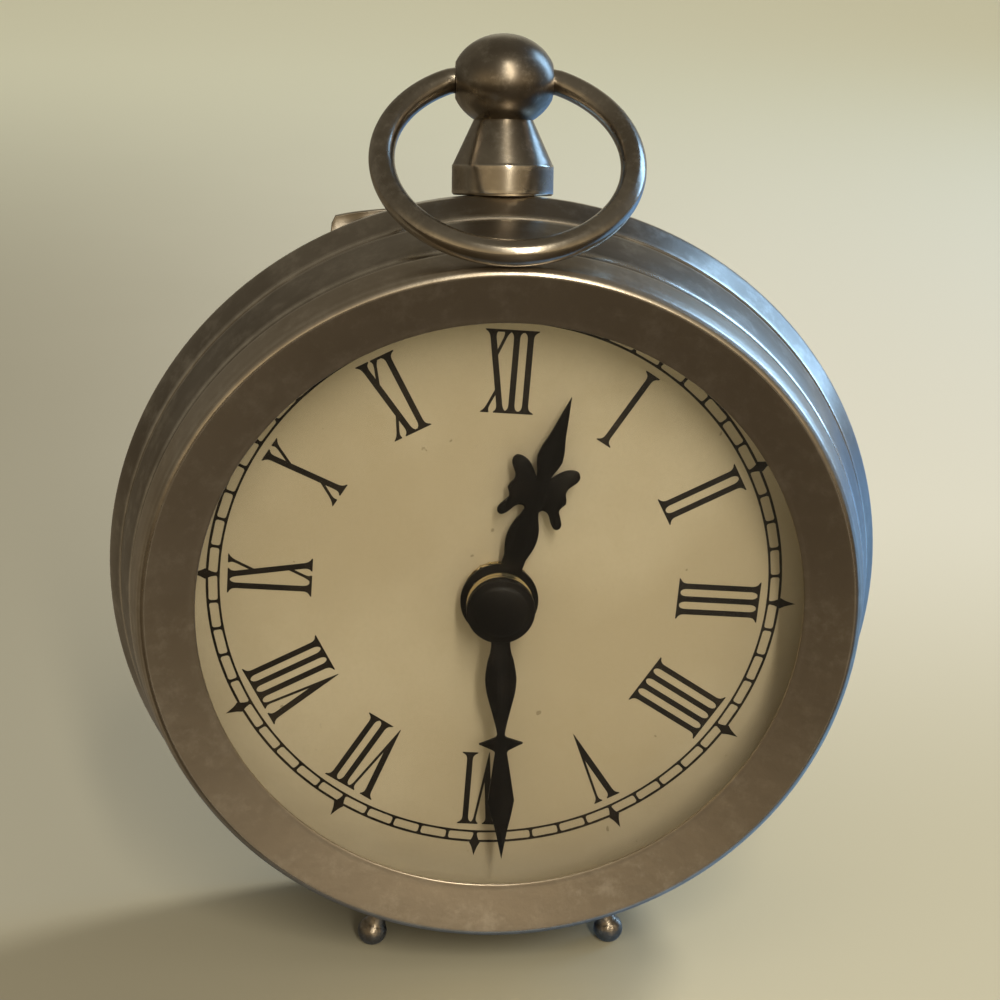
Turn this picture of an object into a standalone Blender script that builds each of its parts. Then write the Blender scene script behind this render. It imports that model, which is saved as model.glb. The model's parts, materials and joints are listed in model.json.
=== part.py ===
"""Table clock in the shape of a pocket watch, for Blender 4.5: a turned case with bezel, glass and dial, a finial that carries a hinged bow, two ball feet, and a quartz movement that drives two hands.

Sizes are in millimetres, and MM turns them into metres. A radius is measured from the clock's axis, and a depth runs back from the bezel's ridge. Every mesh is built in the clock's own frame: x to the right, y up, z towards the reader, so a depth is a negative z."""

import math

import bmesh
import bpy
from mathutils import Matrix, Vector

MM = 0.001

# Facets round a full turn.
BAND_STEPS = 48
RING_STEPS = 36
SMALL_STEPS = 24
TINY_STEPS = 12

# Space left between pieces that touch in the real clock.
GAP = 0.3

# Thickness of the drum's wall.
WALL = 1.5

# Case, from the front: bezel, neck, front band, rim, rear band. Its radii follow the rim's.
RIM_RADIUS = 70.6
RIDGE_RADIUS = RIM_RADIUS - 8.6
BEZEL_RADIUS = RIDGE_RADIUS + 2.85
OPENING_RADIUS = RIDGE_RADIUS - 8.7
NECK_RADIUS = RIDGE_RADIUS - 0.1
NECK_BORE = NECK_RADIUS - 1.2
NECK_FRONT = 3.9
SHOULDER_RADIUS = BEZEL_RADIUS - 0.25
SHOULDER_DEPTH = 6.9
BEZEL_REAR = SHOULDER_DEPTH - 0.5
CREASE_RADIUS = RIM_RADIUS - 2.85
CREASE_DEPTH = 16.9
RIM_DEPTH = 23.3
REAR_RADIUS = RIM_RADIUS - 2.75
DRUM_REAR = 38.5
# Curve of the front band: shares of its depth and of its rise.
BAND_CURVE = [(0.07, 0.175), (0.37, 0.49), (0.69, 0.78)]

GLASS_RADIUS = NECK_BORE - 1.2
GLASS_FRONT = 3.25
GLASS_REAR = 4.8

DIAL_FRONT = 14.4
DIAL_REAR = 15.2
CENTRE_HOLE = 4.3
RING_BORE = RIM_RADIUS - 10.6

COVER_THICKNESS = 1.0
COVER_RADIUS = REAR_RADIUS - 0.65
COVER_RIM_RADIUS = REAR_RADIUS - WALL - GAP
COVER_RIM_BORE = COVER_RIM_RADIUS - 1.4
# Thumb lip of the back cover: angle clockwise from the top, and how far it stands out.
LIP = [(-25.4, 2.9), (-22.7, 2.2), (-20.0, 1.4), (-17.5, 0.7), (-15.0, 0.1)]

# Finial: it stands square to the rear band, and the cover's rim ends behind its nut.
FINIAL_DEPTH = (RIM_DEPTH + DRUM_REAR) / 2 - 0.6
COVER_RIM_FRONT = FINIAL_DEPTH + 4.9
FINIAL_BASE_RADIUS = 8.95
FINIAL_BASE_HEIGHT = 5.3
FINIAL_NECK_RADIUS = 5.2
BALL_HEIGHT = 19.6
BALL_RADIUS = 9.2
BALL_HALF_HEIGHT = 8.1
BALL_FLAT = 8.45
FINIAL_STUD_RADIUS = 2.0
FINIAL_STUD_END = -6.0

# Bow: a ring of wire whose ends turn in the ball's two bores.
BOW_RADIUS = 21.3
BOW_WIRE = 2.2
BOW_SHOULDER = 8.95
BOW_PIN_END = 5.9
BOW_BORE = 2.45
BOW_BORE_END = 5.5
BOW_STEPS = 40
WIRE_SIDES = 10

# Feet: angle from straight down, and radii from the clock's axis.
FOOT_ANGLE = 18.3
FOOT_DEPTH = 11.2
FOOT_BALL_CENTRE = RIM_RADIUS + 1.3
FOOT_BALL_RADIUS = 2.75
FOOT_NECK_RADIUS = 1.5
FOOT_FLANGE_RADIUS = 2.6
FOOT_FLANGE_HEIGHT = 1.1
FOOT_STUD_RADIUS = 1.2
FOOT_NUT_THICKNESS = 1.3

# Hands: (distance along the hand, half width), and the angle clockwise from the top.
HAND_THICKNESS = 0.6
MINUTE_ANGLE = 178.5
MINUTE_FRONT = 6.8
MINUTE_HUB = 6.1
MINUTE_HALF = [
    (7.1, 1.7), (10.0, 2.35), (12.5, 2.75), (14.1, 2.8), (16.5, 2.5), (20.0, 1.65),
    (23.0, 0.95), (24.7, 0.75), (25.3, 1.2), (25.8, 2.3), (26.5, 3.9), (27.2, 2.3),
    (27.8, 1.3), (28.4, 1.15), (33.0, 1.75), (38.0, 2.4), (41.0, 1.85), (44.6, 1.05),
    (50.3, 0.0),
]
HOUR_ANGLE = 17.0
HOUR_FRONT = 10.9
HOUR_HUB = 7.0
HOUR_HALF = [
    (8.7, 2.0), (11.0, 2.6), (13.0, 2.75), (15.0, 2.4), (17.0, 1.6), (18.1, 1.3),
    (18.8, 1.9), (18.2, 3.0), (16.7, 4.0), (15.9, 4.9), (16.1, 5.7), (17.0, 5.9),
    (18.2, 5.3), (19.3, 4.7), (20.1, 4.9), (20.9, 5.5), (21.8, 5.2), (22.7, 4.8),
    (23.7, 4.9), (24.6, 5.5), (25.5, 6.1), (26.4, 6.2), (27.0, 5.8), (27.2, 4.7),
    (26.7, 3.4), (25.6, 2.2), (24.3, 1.2), (25.6, 1.5), (26.8, 2.0), (28.1, 2.3),
    (30.0, 2.05), (32.5, 1.4), (36.0, 0.75), (39.8, 0.0),
]

# Movement: a square box in two halves, with the battery's bay below the wheels.
BOX_HALF = 28.0
BOX_CORNER = 3.0
BOX_WALL = 1.4
BOX_FRONT = 16.5
BOX_SPLIT = 23.05
BOX_REAR = 31.0
BOX_FACE = 1.5
PARTITION = (-11.4, -10.4)
BATTERY_BAY = (-BOX_HALF + BOX_WALL, PARTITION[0])
WHEEL_BAY = (PARTITION[1], BOX_HALF - BOX_WALL)
BATTERY_RADIUS = (BATTERY_BAY[1] - BATTERY_BAY[0]) / 2 - 0.35
BATTERY_LENGTH = 2 * (BOX_HALF - BOX_WALL) - 2.7
BATTERY_HEIGHT = (BATTERY_BAY[0] + BATTERY_BAY[1]) / 2
BATTERY_DEPTH = BOX_FRONT + BOX_FACE + 0.45 + BATTERY_RADIUS

ARBOR_RADIUS = 0.6
ARBOR_FRONT = BOX_FRONT + 0.8
ARBOR_REAR = BOX_REAR - 0.8
MINUTE_ARBOR_RADIUS = 1.25
MINUTE_BORE = 1.55
HOUR_PIPE_RADIUS = 2.3
HOUR_PIPE_BORE = 1.6

# Wheels stand on six levels; each pair of meshing gears shares one.
LEVELS = [BOX_FRONT + 2.7 + 1.4 * level for level in range(6)]
WHEEL_THICKNESS = 0.8
MOTION_MODULE = 0.55
CENTRE_MODULE = 0.40
TRAIN_MODULE = 0.36

BEZEL_OUTSIDE = [
    (OPENING_RADIUS, 2.7), (OPENING_RADIUS + 0.2, 2.35), (OPENING_RADIUS + 0.9, 2.2),
    (RIDGE_RADIUS - 0.6, 0.15), (RIDGE_RADIUS, 0.0), (RIDGE_RADIUS + 0.5, 0.25),
    (RIDGE_RADIUS + 1.2, 1.1), (RIDGE_RADIUS + 1.9, 2.8),
    (BEZEL_RADIUS - 0.25, BEZEL_REAR - 1.2), (BEZEL_RADIUS, BEZEL_REAR),
]
BEZEL_INSIDE = [
    (BEZEL_RADIUS - 1.3, BEZEL_REAR), (RIDGE_RADIUS + 0.3, 2.3), (RIDGE_RADIUS - 0.4, 1.5),
    (OPENING_RADIUS + 0.7, 3.0), (OPENING_RADIUS, 2.95),
]
DRUM_OUTSIDE = [
    (NECK_RADIUS, NECK_FRONT), (NECK_RADIUS, SHOULDER_DEPTH), (SHOULDER_RADIUS, SHOULDER_DEPTH),
    *(
        (
            SHOULDER_RADIUS + rise * (CREASE_RADIUS - SHOULDER_RADIUS),
            SHOULDER_DEPTH + share * (CREASE_DEPTH - SHOULDER_DEPTH),
        )
        for share, rise in BAND_CURVE
    ),
    (CREASE_RADIUS, CREASE_DEPTH), (CREASE_RADIUS - 0.25, CREASE_DEPTH + 0.3),
    (CREASE_RADIUS + 0.3, CREASE_DEPTH + 0.7), (RIM_RADIUS - 0.25, RIM_DEPTH - 0.6),
    (RIM_RADIUS, RIM_DEPTH), (RIM_RADIUS - 0.1, RIM_DEPTH + 0.6),
    (REAR_RADIUS, DRUM_REAR - 0.3), (REAR_RADIUS - 0.35, DRUM_REAR),
]
DRUM_INSIDE = [
    (REAR_RADIUS - WALL, DRUM_REAR), (RIM_RADIUS - WALL, RIM_DEPTH + GAP),
    (CREASE_RADIUS - WALL, CREASE_DEPTH), (SHOULDER_RADIUS - 0.7, SHOULDER_DEPTH + 1.3),
    (NECK_BORE, SHOULDER_DEPTH + 1.3), (NECK_BORE, NECK_FRONT),
]


def material(name, colour, metallic=0.0, roughness=0.5, alpha=1.0):
    made = bpy.data.materials.new(name)
    made.use_nodes = True
    shader = made.node_tree.nodes["Principled BSDF"]
    shader.inputs["Base Color"].default_value = (*colour, 1.0)
    shader.inputs["Metallic"].default_value = metallic
    shader.inputs["Roughness"].default_value = roughness
    shader.inputs["Alpha"].default_value = alpha
    return made


def polar(radius, degrees):
    """A flat point at this angle clockwise from the top."""
    turn = math.radians(degrees)
    return radius * math.sin(turn), radius * math.cos(turn)


def circle(radius, steps, centre=(0.0, 0.0)):
    turns = [2 * math.pi * step / steps for step in range(steps)]
    return [
        (centre[0] + radius * math.cos(turn), centre[1] + radius * math.sin(turn))
        for turn in turns
    ]


def rectangle(left, bottom, right, top):
    return [(left, bottom), (right, bottom), (right, top), (left, top)]


def rounded_square(half, corner):
    """A square's outline with four facets to each round corner."""
    outline = []
    for quarter in range(4):
        middle = math.radians(45 + 90 * quarter)
        centre = Vector((math.cos(middle), math.sin(middle))) * (half - corner) * math.sqrt(2)
        for step in range(5):
            turn = math.radians(90 * quarter + 22.5 * step)
            outline.append((centre.x + corner * math.cos(turn), centre.y + corner * math.sin(turn)))
    return outline


def hand_outline(half, hub, degrees):
    """A hand's outline: its half outline, the mirror image of that, and the round hub."""
    width = half[0][1]
    start = math.asin(width / hub)
    right = [(hub * math.cos(start), width)] + half
    left = [(along, -side) for along, side in reversed(right[:-1])]
    steps = 20
    turns = [start + (2 * math.pi - 2 * start) * step / steps for step in range(1, steps)]
    back = [(hub * math.cos(turn), -hub * math.sin(turn)) for turn in turns]
    turn = math.radians(degrees)
    return [
        (
            along * math.sin(turn) + side * math.cos(turn),
            along * math.cos(turn) - side * math.sin(turn),
        )
        for along, side in right + left + back
    ]


def gear_outline(teeth, module, phase):
    """Tapered teeth of four points each; phase is the direction of one tooth."""
    pitch = module * teeth / 2
    outline = []
    for tooth in range(teeth):
        middle = phase + 2 * math.pi * tooth / teeth
        for radius, side in (
            (pitch - 1.2 * module, -0.85 * module),
            (pitch + 0.8 * module, -0.28 * module),
            (pitch + 0.8 * module, 0.28 * module),
            (pitch - 1.2 * module, 0.85 * module),
        ):
            turn = middle + side / pitch
            outline.append((radius * math.cos(turn), radius * math.sin(turn)))
    return outline


def radius_at(profile, depth):
    """The radius of a profile of (radius, depth) points at a depth."""
    points = sorted((deep, radius) for radius, deep in profile)
    for (d0, r0), (d1, r1) in zip(points, points[1:]):
        if d0 <= depth <= d1 and d1 > d0:
            return r0 + (r1 - r0) * (depth - d0) / (d1 - d0)
    raise ValueError(f"no radius at depth {depth}")


def from_depths(profile):
    """A profile of (radius, depth) points as (radius, height) ones."""
    return [(radius, -depth) for radius, depth in profile]


def turned(profile, steps):
    """A closed mesh of (radius, height) points turned about z. A profile with both ends on the axis makes a solid, any other a ring."""
    solid = profile[0][0] == 0 and profile[-1][0] == 0
    area = sum(a[0] * b[1] - b[0] * a[1] for a, b in zip(profile, profile[1:] + profile[:1]))
    if area < 0:
        profile = profile[::-1]
    shape = bmesh.new()
    rings = []
    for radius, height in profile:
        if radius == 0:
            rings.append([shape.verts.new((0, 0, height * MM))] * steps)
            continue
        rings.append(
            [shape.verts.new((x * MM, y * MM, height * MM)) for x, y in circle(radius, steps)]
        )
    ends = list(zip(rings, rings[1:] + rings[:1]))
    for low, high in ends[:-1] if solid else ends:
        for step in range(steps):
            after = (step + 1) % steps
            corners = [low[step], low[after], high[after], high[step]]
            shape.faces.new([corner for i, corner in enumerate(corners) if corner not in corners[:i]])
    mesh = bpy.data.meshes.new("turned")
    shape.to_mesh(mesh)
    shape.free()
    return mesh


def tube(outer, inner, low, high, steps):
    return turned([(outer, low), (outer, high), (inner, high), (inner, low)], steps)


def rod(radius, low, high, steps):
    return turned([(0, low), (radius, low), (radius, high), (0, high)], steps)


def plate(outlines, low, high):
    """A closed plate between two heights. The first outline is its edge and the others are holes."""
    curve = bpy.data.curves.new("plate", "CURVE")
    curve.dimensions = "2D"
    curve.fill_mode = "BOTH"
    curve.extrude = (high - low) / 2
    for outline in outlines:
        spline = curve.splines.new("POLY")
        spline.points.add(len(outline) - 1)
        for point, (x, y) in zip(spline.points, outline):
            point.co = (x, y, 0, 1)
        spline.use_cyclic_u = True
    holder = bpy.data.objects.new("plate", curve)
    mesh = bpy.data.meshes.new_from_object(holder)
    bpy.data.objects.remove(holder)
    bpy.data.curves.remove(curve)
    shape = bmesh.new()
    shape.from_mesh(mesh)
    bmesh.ops.remove_doubles(shape, verts=shape.verts, dist=1e-3)
    bmesh.ops.recalc_face_normals(shape, faces=shape.faces)
    shape.to_mesh(mesh)
    shape.free()
    mesh.transform(Matrix.Scale(MM, 4) @ Matrix.Translation((0, 0, (low + high) / 2)))
    return mesh


def block(left, right, bottom, top, front, rear):
    return plate([rectangle(left, bottom, right, top)], -rear, -front)


def moved(mesh, matrix):
    """The mesh carried by a matrix whose shift is in millimetres."""
    shift = Matrix.Translation(matrix.to_translation() * MM)
    mesh.transform(shift @ matrix.to_3x3().to_4x4())
    return mesh


def at(mesh, x, y, depth=0.0):
    return moved(mesh, Matrix.Translation((x, y, -depth)))


def combined(first, *steps):
    """The first mesh after Boolean steps, each an operation and a mesh."""
    scene = bpy.context.scene
    pieces = [bpy.data.objects.new("piece", mesh) for mesh in (first, *(m for _, m in steps))]
    for piece in pieces:
        scene.collection.objects.link(piece)
    for (operation, _), piece in zip(steps, pieces[1:]):
        modifier = pieces[0].modifiers.new(operation, "BOOLEAN")
        modifier.operation = operation
        modifier.solver = "EXACT"
        modifier.object = piece
    bpy.context.view_layer.update()
    graph = bpy.context.evaluated_depsgraph_get()
    mesh = bpy.data.meshes.new_from_object(pieces[0].evaluated_get(graph))
    for piece in pieces:
        bpy.data.objects.remove(piece)
    return mesh


def joined(first, *others):
    return combined(first, *(("UNION", other) for other in others))


def cut(first, *others):
    return combined(first, *(("DIFFERENCE", other) for other in others))


def wire(path, radius, sides):
    """A round wire along a path in the xy plane, mitred at each corner and closed at both ends."""
    shape = bmesh.new()
    points = [Vector(point) for point in path]
    rings = []
    for i, point in enumerate(points):
        before = (point - points[i - 1]).normalized() if i else None
        after = (points[i + 1] - point).normalized() if i + 1 < len(points) else None
        along = ((before or after) + (after or before)).normalized()
        across = Vector((-along.y, along.x)) / along.dot(after or before)
        turns = [2 * math.pi * side / sides for side in range(sides)]
        rings.append(
            [
                shape.verts.new(
                    (
                        (point.x + across.x * radius * math.cos(turn)) * MM,
                        (point.y + across.y * radius * math.cos(turn)) * MM,
                        radius * math.sin(turn) * MM,
                    )
                )
                for turn in turns
            ]
        )
    for low, high in zip(rings, rings[1:]):
        for side in range(sides):
            after = (side + 1) % sides
            shape.faces.new([low[side], low[after], high[after], high[side]])
    shape.faces.new(rings[0][::-1])
    shape.faces.new(rings[-1])
    bmesh.ops.recalc_face_normals(shape, faces=shape.faces)
    mesh = bpy.data.meshes.new("wire")
    shape.to_mesh(mesh)
    shape.free()
    return mesh


# Finial's frame: z leans back with the normal of the rear band, y runs down the band to the rear.
BAND_SLOPE = math.atan2(
    DRUM_OUTSIDE[-3][0] - DRUM_OUTSIDE[-2][0], DRUM_OUTSIDE[-2][1] - DRUM_OUTSIDE[-3][1]
)
FINIAL_FRAME = Matrix.Translation((0, radius_at(DRUM_OUTSIDE, FINIAL_DEPTH), -FINIAL_DEPTH)) @ (
    Matrix.Rotation(-math.pi / 2 - BAND_SLOPE, 4, "X")
)
PIVOT = FINIAL_FRAME @ Vector((0, 0, BALL_HEIGHT))
BOW_DROP = math.sqrt(BOW_RADIUS**2 - BOW_SHOULDER**2)


def bow_gap(angle):
    """The least gap between the case and the bow, hanging this far forward of straight down."""
    outline = [Vector(point) for point in BEZEL_OUTSIDE + DRUM_OUTSIDE[2:]]
    side = BEZEL_OUTSIDE[4:] + DRUM_OUTSIDE[2:]
    gaps = []
    for step in range(25):
        turn = math.pi * (1 - step / 40)
        reach = BOW_DROP - BOW_RADIUS * math.cos(turn)
        height = PIVOT.y - reach * math.cos(angle)
        depth = -PIVOT.z - reach * math.sin(angle)
        spot = Vector((math.hypot(BOW_RADIUS * math.sin(turn), height), depth))
        ways = []
        for a, b in zip(outline, outline[1:]):
            along = max(0.0, min(1.0, (spot - a).dot(b - a) / (b - a).length_squared))
            ways.append((spot - a - along * (b - a)).length)
        inside = 0 < depth < DRUM_REAR and spot.x < radius_at(side, depth)
        gaps.append(min(ways) * (-1 if inside else 1) - BOW_WIRE)
    return min(gaps)


def resting_angle():
    """The bow's angle forward of straight down when it lies on the case."""
    low, high = math.radians(40), math.radians(90)
    for _ in range(40):
        middle = (low + high) / 2
        low, high = (low, middle) if bow_gap(middle) > GAP else (middle, high)
    return high


def level(index):
    """The heights of one level of wheels."""
    return -LEVELS[index] - WHEEL_THICKNESS, -LEVELS[index]


def gear(teeth, module, index, phase, bore=0.0):
    holes = [circle(bore, 16)] if bore else []
    return plate([gear_outline(teeth, module, phase)] + holes, *level(index))


def arbor(front=ARBOR_FRONT, rear=ARBOR_REAR):
    return rod(ARBOR_RADIUS, -rear, -front, 8)


def distance(module, first, second):
    return module * (first + second) / 2


# Axes of the wheels. Each next one lies at a pair's distance in the direction given.
SETTING_AXIS = Vector((-distance(MOTION_MODULE, 10, 30), 0.0))
THIRD_TURN = math.radians(45)
THIRD_AXIS = distance(CENTRE_MODULE, 48, 6) * Vector((math.cos(THIRD_TURN), math.sin(THIRD_TURN)))
SECONDS_TURN = math.radians(100)
SECONDS_AXIS = THIRD_AXIS + distance(TRAIN_MODULE, 45, 6) * Vector(
    (math.cos(SECONDS_TURN), math.sin(SECONDS_TURN))
)
INTERMEDIATE_TURN = math.radians(170)
INTERMEDIATE_AXIS = SECONDS_AXIS + distance(TRAIN_MODULE, 36, 6) * Vector(
    (math.cos(INTERMEDIATE_TURN), math.sin(INTERMEDIATE_TURN))
)
ROTOR_AXIS = INTERMEDIATE_AXIS + distance(TRAIN_MODULE, 30, 6) * Vector((-1.0, 0.0))
AXES = [SETTING_AXIS, THIRD_AXIS, SECONDS_AXIS, INTERMEDIATE_AXIS, ROTOR_AXIS]


def facing(teeth, turn):
    """The phase of a driven gear whose gap meets the driver's tooth, along the direction turn from the driver."""
    return turn + math.pi + math.pi / teeth


def build_case():
    parts = {}
    parts["bezel"] = turned(from_depths(BEZEL_OUTSIDE + BEZEL_INSIDE), BAND_STEPS)
    parts["glass"] = rod(GLASS_RADIUS, -GLASS_REAR, -GLASS_FRONT, RING_STEPS)
    spring_front = GLASS_REAR + GAP
    parts["glass_ring"] = tube(
        NECK_BORE - 0.4, NECK_BORE - 3.7, -spring_front - 1.2, -spring_front, RING_STEPS
    )
    spacer_front = DRUM_INSIDE[3][1] + GAP
    parts["spacer_ring"] = tube(
        NECK_BORE + 1.3, NECK_BORE + 0.2, GAP - DIAL_FRONT, -spacer_front, RING_STEPS
    )
    dial_radius = radius_at(DRUM_INSIDE, DIAL_FRONT) - GAP
    parts["dial"] = tube(dial_radius, CENTRE_HOLE, -DIAL_REAR, -DIAL_FRONT, RING_STEPS)
    ring_front = DIAL_REAR + GAP
    ring_radius = radius_at(DRUM_INSIDE, ring_front) - GAP
    parts["dial_ring"] = tube(ring_radius, RING_BORE, -ring_front - 1.7, -ring_front, RING_STEPS)

    holes = [moved(rod(FINIAL_STUD_RADIUS + GAP, -4, 4, TINY_STEPS), FINIAL_FRAME)]
    for side in (-1, 1):
        band = radius_at(DRUM_OUTSIDE, FOOT_DEPTH)
        hole = rod(FOOT_STUD_RADIUS + GAP, band - 5, band + 4, TINY_STEPS)
        holes.append(moved(hole, foot_frame(side)))
    drum = turned(from_depths(DRUM_OUTSIDE + DRUM_INSIDE), BAND_STEPS)
    parts["drum"] = cut(drum, *holes)

    edge = [polar(COVER_RADIUS, 360 * step / BAND_STEPS) for step in range(BAND_STEPS)]
    first, last = LIP[0][0] % 360, LIP[-1][0] % 360
    lip = [polar(COVER_RADIUS, LIP[0][0])]
    lip += [polar(COVER_RADIUS + out, angle) for angle, out in LIP]
    kept = [i for i in range(BAND_STEPS) if not first <= 360 * i / BAND_STEPS <= last]
    before = [edge[i] for i in kept if 360 * i / BAND_STEPS < first]
    after = [edge[i] for i in kept if 360 * i / BAND_STEPS > last]
    cover_front = DRUM_REAR + GAP
    parts["back_cover"] = joined(
        plate([before + lip + after], -cover_front - COVER_THICKNESS, -cover_front),
        tube(COVER_RIM_RADIUS, COVER_RIM_BORE, -cover_front - 0.5, -COVER_RIM_FRONT, BAND_STEPS),
    )
    return parts


def build_finial():
    parts = {}
    waist = math.acos(FINIAL_NECK_RADIUS / BALL_RADIUS)
    turns = [-waist + (math.pi / 2 + waist) * step / 9 for step in range(9)]
    ball = [
        (BALL_RADIUS * math.cos(turn), BALL_HEIGHT + BALL_HALF_HEIGHT * math.sin(turn))
        for turn in turns
    ]
    profile = [
        (0, FINIAL_STUD_END), (FINIAL_STUD_RADIUS, FINIAL_STUD_END), (FINIAL_STUD_RADIUS, GAP),
        (FINIAL_BASE_RADIUS - 0.35, GAP), (FINIAL_BASE_RADIUS, GAP + 0.35),
        (FINIAL_BASE_RADIUS, FINIAL_BASE_HEIGHT - 0.3),
        (FINIAL_BASE_RADIUS - 0.2, FINIAL_BASE_HEIGHT), *ball,
        (0, BALL_HEIGHT + BALL_HALF_HEIGHT),
    ]
    cuts = []
    for side in (-1, 1):
        sideways = Matrix.Translation((0, 0, BALL_HEIGHT)) @ Matrix.Rotation(side * math.pi / 2, 4, "Y")
        wide, far = BALL_RADIUS, BALL_RADIUS + 3
        cuts.append(moved(plate([rectangle(-wide, -wide, wide, wide)], BALL_FLAT, far), sideways))
        cuts.append(moved(rod(BOW_BORE, BOW_BORE_END, far, 16), sideways))
    parts["finial"] = moved(cut(turned(profile, SMALL_STEPS), *cuts), FINIAL_FRAME)
    bore = FINIAL_STUD_RADIUS + GAP
    washer = -WALL - 0.45
    parts["finial_washer"] = moved(
        tube(bore + 1.9, bore, washer - 0.65, washer, SMALL_STEPS), FINIAL_FRAME
    )
    nut = washer - 0.65 - GAP
    parts["finial_nut"] = moved(
        plate([circle(bore + 1.5, 6), circle(bore, TINY_STEPS)], nut - 2.3, nut), FINIAL_FRAME
    )
    return parts


def build_bow():
    start = math.asin(BOW_SHOULDER / BOW_RADIUS)
    turns = [
        start + (2 * math.pi - 2 * start) * step / BOW_STEPS for step in range(BOW_STEPS + 1)
    ]
    ring = [(-BOW_RADIUS * math.sin(turn), BOW_DROP - BOW_RADIUS * math.cos(turn)) for turn in turns]
    path = [(-BOW_PIN_END, 0.0)] + ring + [(BOW_PIN_END, 0.0)]
    # The path's y runs from the pivot down and forward at the resting angle.
    hang = Matrix.Rotation(math.pi - resting_angle(), 4, "X")
    return {"bow": moved(wire(path, BOW_WIRE, WIRE_SIDES), Matrix.Translation(PIVOT) @ hang)}


def foot_frame(side):
    """The frame of a foot: z runs out from the clock's axis, down and to one side."""
    turn = math.radians(FOOT_ANGLE) * side
    out = Vector((math.sin(turn), -math.cos(turn), 0))
    across = Vector((0, 0, 1)).cross(out)
    frame = Matrix((across, Vector((0, 0, 1)), out)).transposed()
    if frame.determinant() < 0:
        frame = Matrix((-across, Vector((0, 0, 1)), out)).transposed()
    return Matrix.Translation((0, 0, -FOOT_DEPTH)) @ frame.to_4x4()


def build_feet():
    parts = {}
    flange = radius_at(DRUM_OUTSIDE, FOOT_DEPTH) + FOOT_FLANGE_HEIGHT
    nut_top = radius_at(DRUM_INSIDE, FOOT_DEPTH) - 3 * GAP
    nut_end = nut_top - FOOT_NUT_THICKNESS
    for side, name in ((-1, "left"), (1, "right")):
        waist = math.asin(FOOT_NECK_RADIUS / FOOT_BALL_RADIUS)
        turns = [waist + (math.pi - waist) * step / 7 for step in range(7)]
        ball = [
            (
                FOOT_BALL_RADIUS * math.sin(turn),
                FOOT_BALL_CENTRE - FOOT_BALL_RADIUS * math.cos(turn),
            )
            for turn in turns
        ]
        profile = [
            (0, flange - 2.4), (FOOT_FLANGE_RADIUS, flange - 2.4), (FOOT_FLANGE_RADIUS, flange),
            (FOOT_NECK_RADIUS, flange + 0.4), *ball,
            (0, FOOT_BALL_CENTRE + FOOT_BALL_RADIUS),
        ]
        band = [(r + GAP * 1.1, d) for r, d in DRUM_OUTSIDE if SHOULDER_DEPTH < d < CREASE_DEPTH + 0.1]
        band = [(0, band[0][1])] + band + [(0, band[-1][1])]
        floor = block(-100, 100, -RIM_RADIUS - 10, -RIM_RADIUS, 0, 40)
        stud = rod(FOOT_STUD_RADIUS, nut_end - 0.2, flange - 0.2, TINY_STEPS)
        parts[f"foot_{name}"] = combined(
            moved(turned(profile, 16), foot_frame(side)),
            ("DIFFERENCE", turned(from_depths(band), BAND_STEPS)),
            ("UNION", moved(stud, foot_frame(side))),
            ("DIFFERENCE", floor),
        )
        bore = FOOT_STUD_RADIUS + GAP
        nut = plate([circle(bore + 0.7, 6), circle(bore, TINY_STEPS)], nut_end, nut_top)
        parts[f"foot_nut_{name}"] = moved(nut, foot_frame(side))
    return parts


def build_hands():
    parts = {}
    # The cap's radii and its heights in front of the minute hand.
    cap = [(0, 1.7), (1.9, 1.63), (3.4, 1.4), (4.4, 1.18), (4.8, 0.95), (6.1, 0.85), (6.1, GAP)]
    cap += [(1.6, GAP), (1.6, 1.1), (0, 1.1)]
    cap = [(radius, height - MINUTE_FRONT) for radius, height in cap]
    parts["hand_cap"] = turned(cap, SMALL_STEPS)
    for name, half, hub, bore, front, angle in (
        ("minute_hand", MINUTE_HALF, MINUTE_HUB, MINUTE_BORE, MINUTE_FRONT, MINUTE_ANGLE),
        ("hour_hand", HOUR_HALF, HOUR_HUB, HOUR_PIPE_RADIUS + GAP, HOUR_FRONT, HOUR_ANGLE),
    ):
        outline = hand_outline(half, hub, angle)
        parts[name] = plate([outline, circle(bore, 16)], -front - HAND_THICKNESS, -front)
    collar_front = MINUTE_FRONT + HAND_THICKNESS + GAP
    parts["hand_collar"] = tube(6.0, MINUTE_BORE, 0.5 - HOUR_FRONT, -collar_front, SMALL_STEPS)
    return parts


def build_centre():
    """The fixing of the movement on the dial, from the front."""
    parts = {}
    nut = [circle(6.93, 6), circle(CENTRE_HOLE, SMALL_STEPS)]
    parts["bush_nut"] = plate(nut, 1.0 - DIAL_FRONT, 2.1 - DIAL_FRONT)
    parts["bush_washer"] = tube(6.5, CENTRE_HOLE, GAP - DIAL_FRONT, GAP + 0.4 - DIAL_FRONT, SMALL_STEPS)
    bush_front, head = HOUR_FRONT + 1.1, BOX_FRONT + BOX_FACE + GAP
    bush = [(2.6, bush_front), (4.0, bush_front), (4.0, head), (5.5, head), (5.5, head + 0.5)]
    parts["bush"] = turned(from_depths(bush + [(2.6, head + 0.5)]), SMALL_STEPS)
    parts["gasket"] = tube(20.0, CENTRE_HOLE + GAP, GAP - BOX_FRONT, -DIAL_REAR - GAP, SMALL_STEPS)
    return parts


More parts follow.
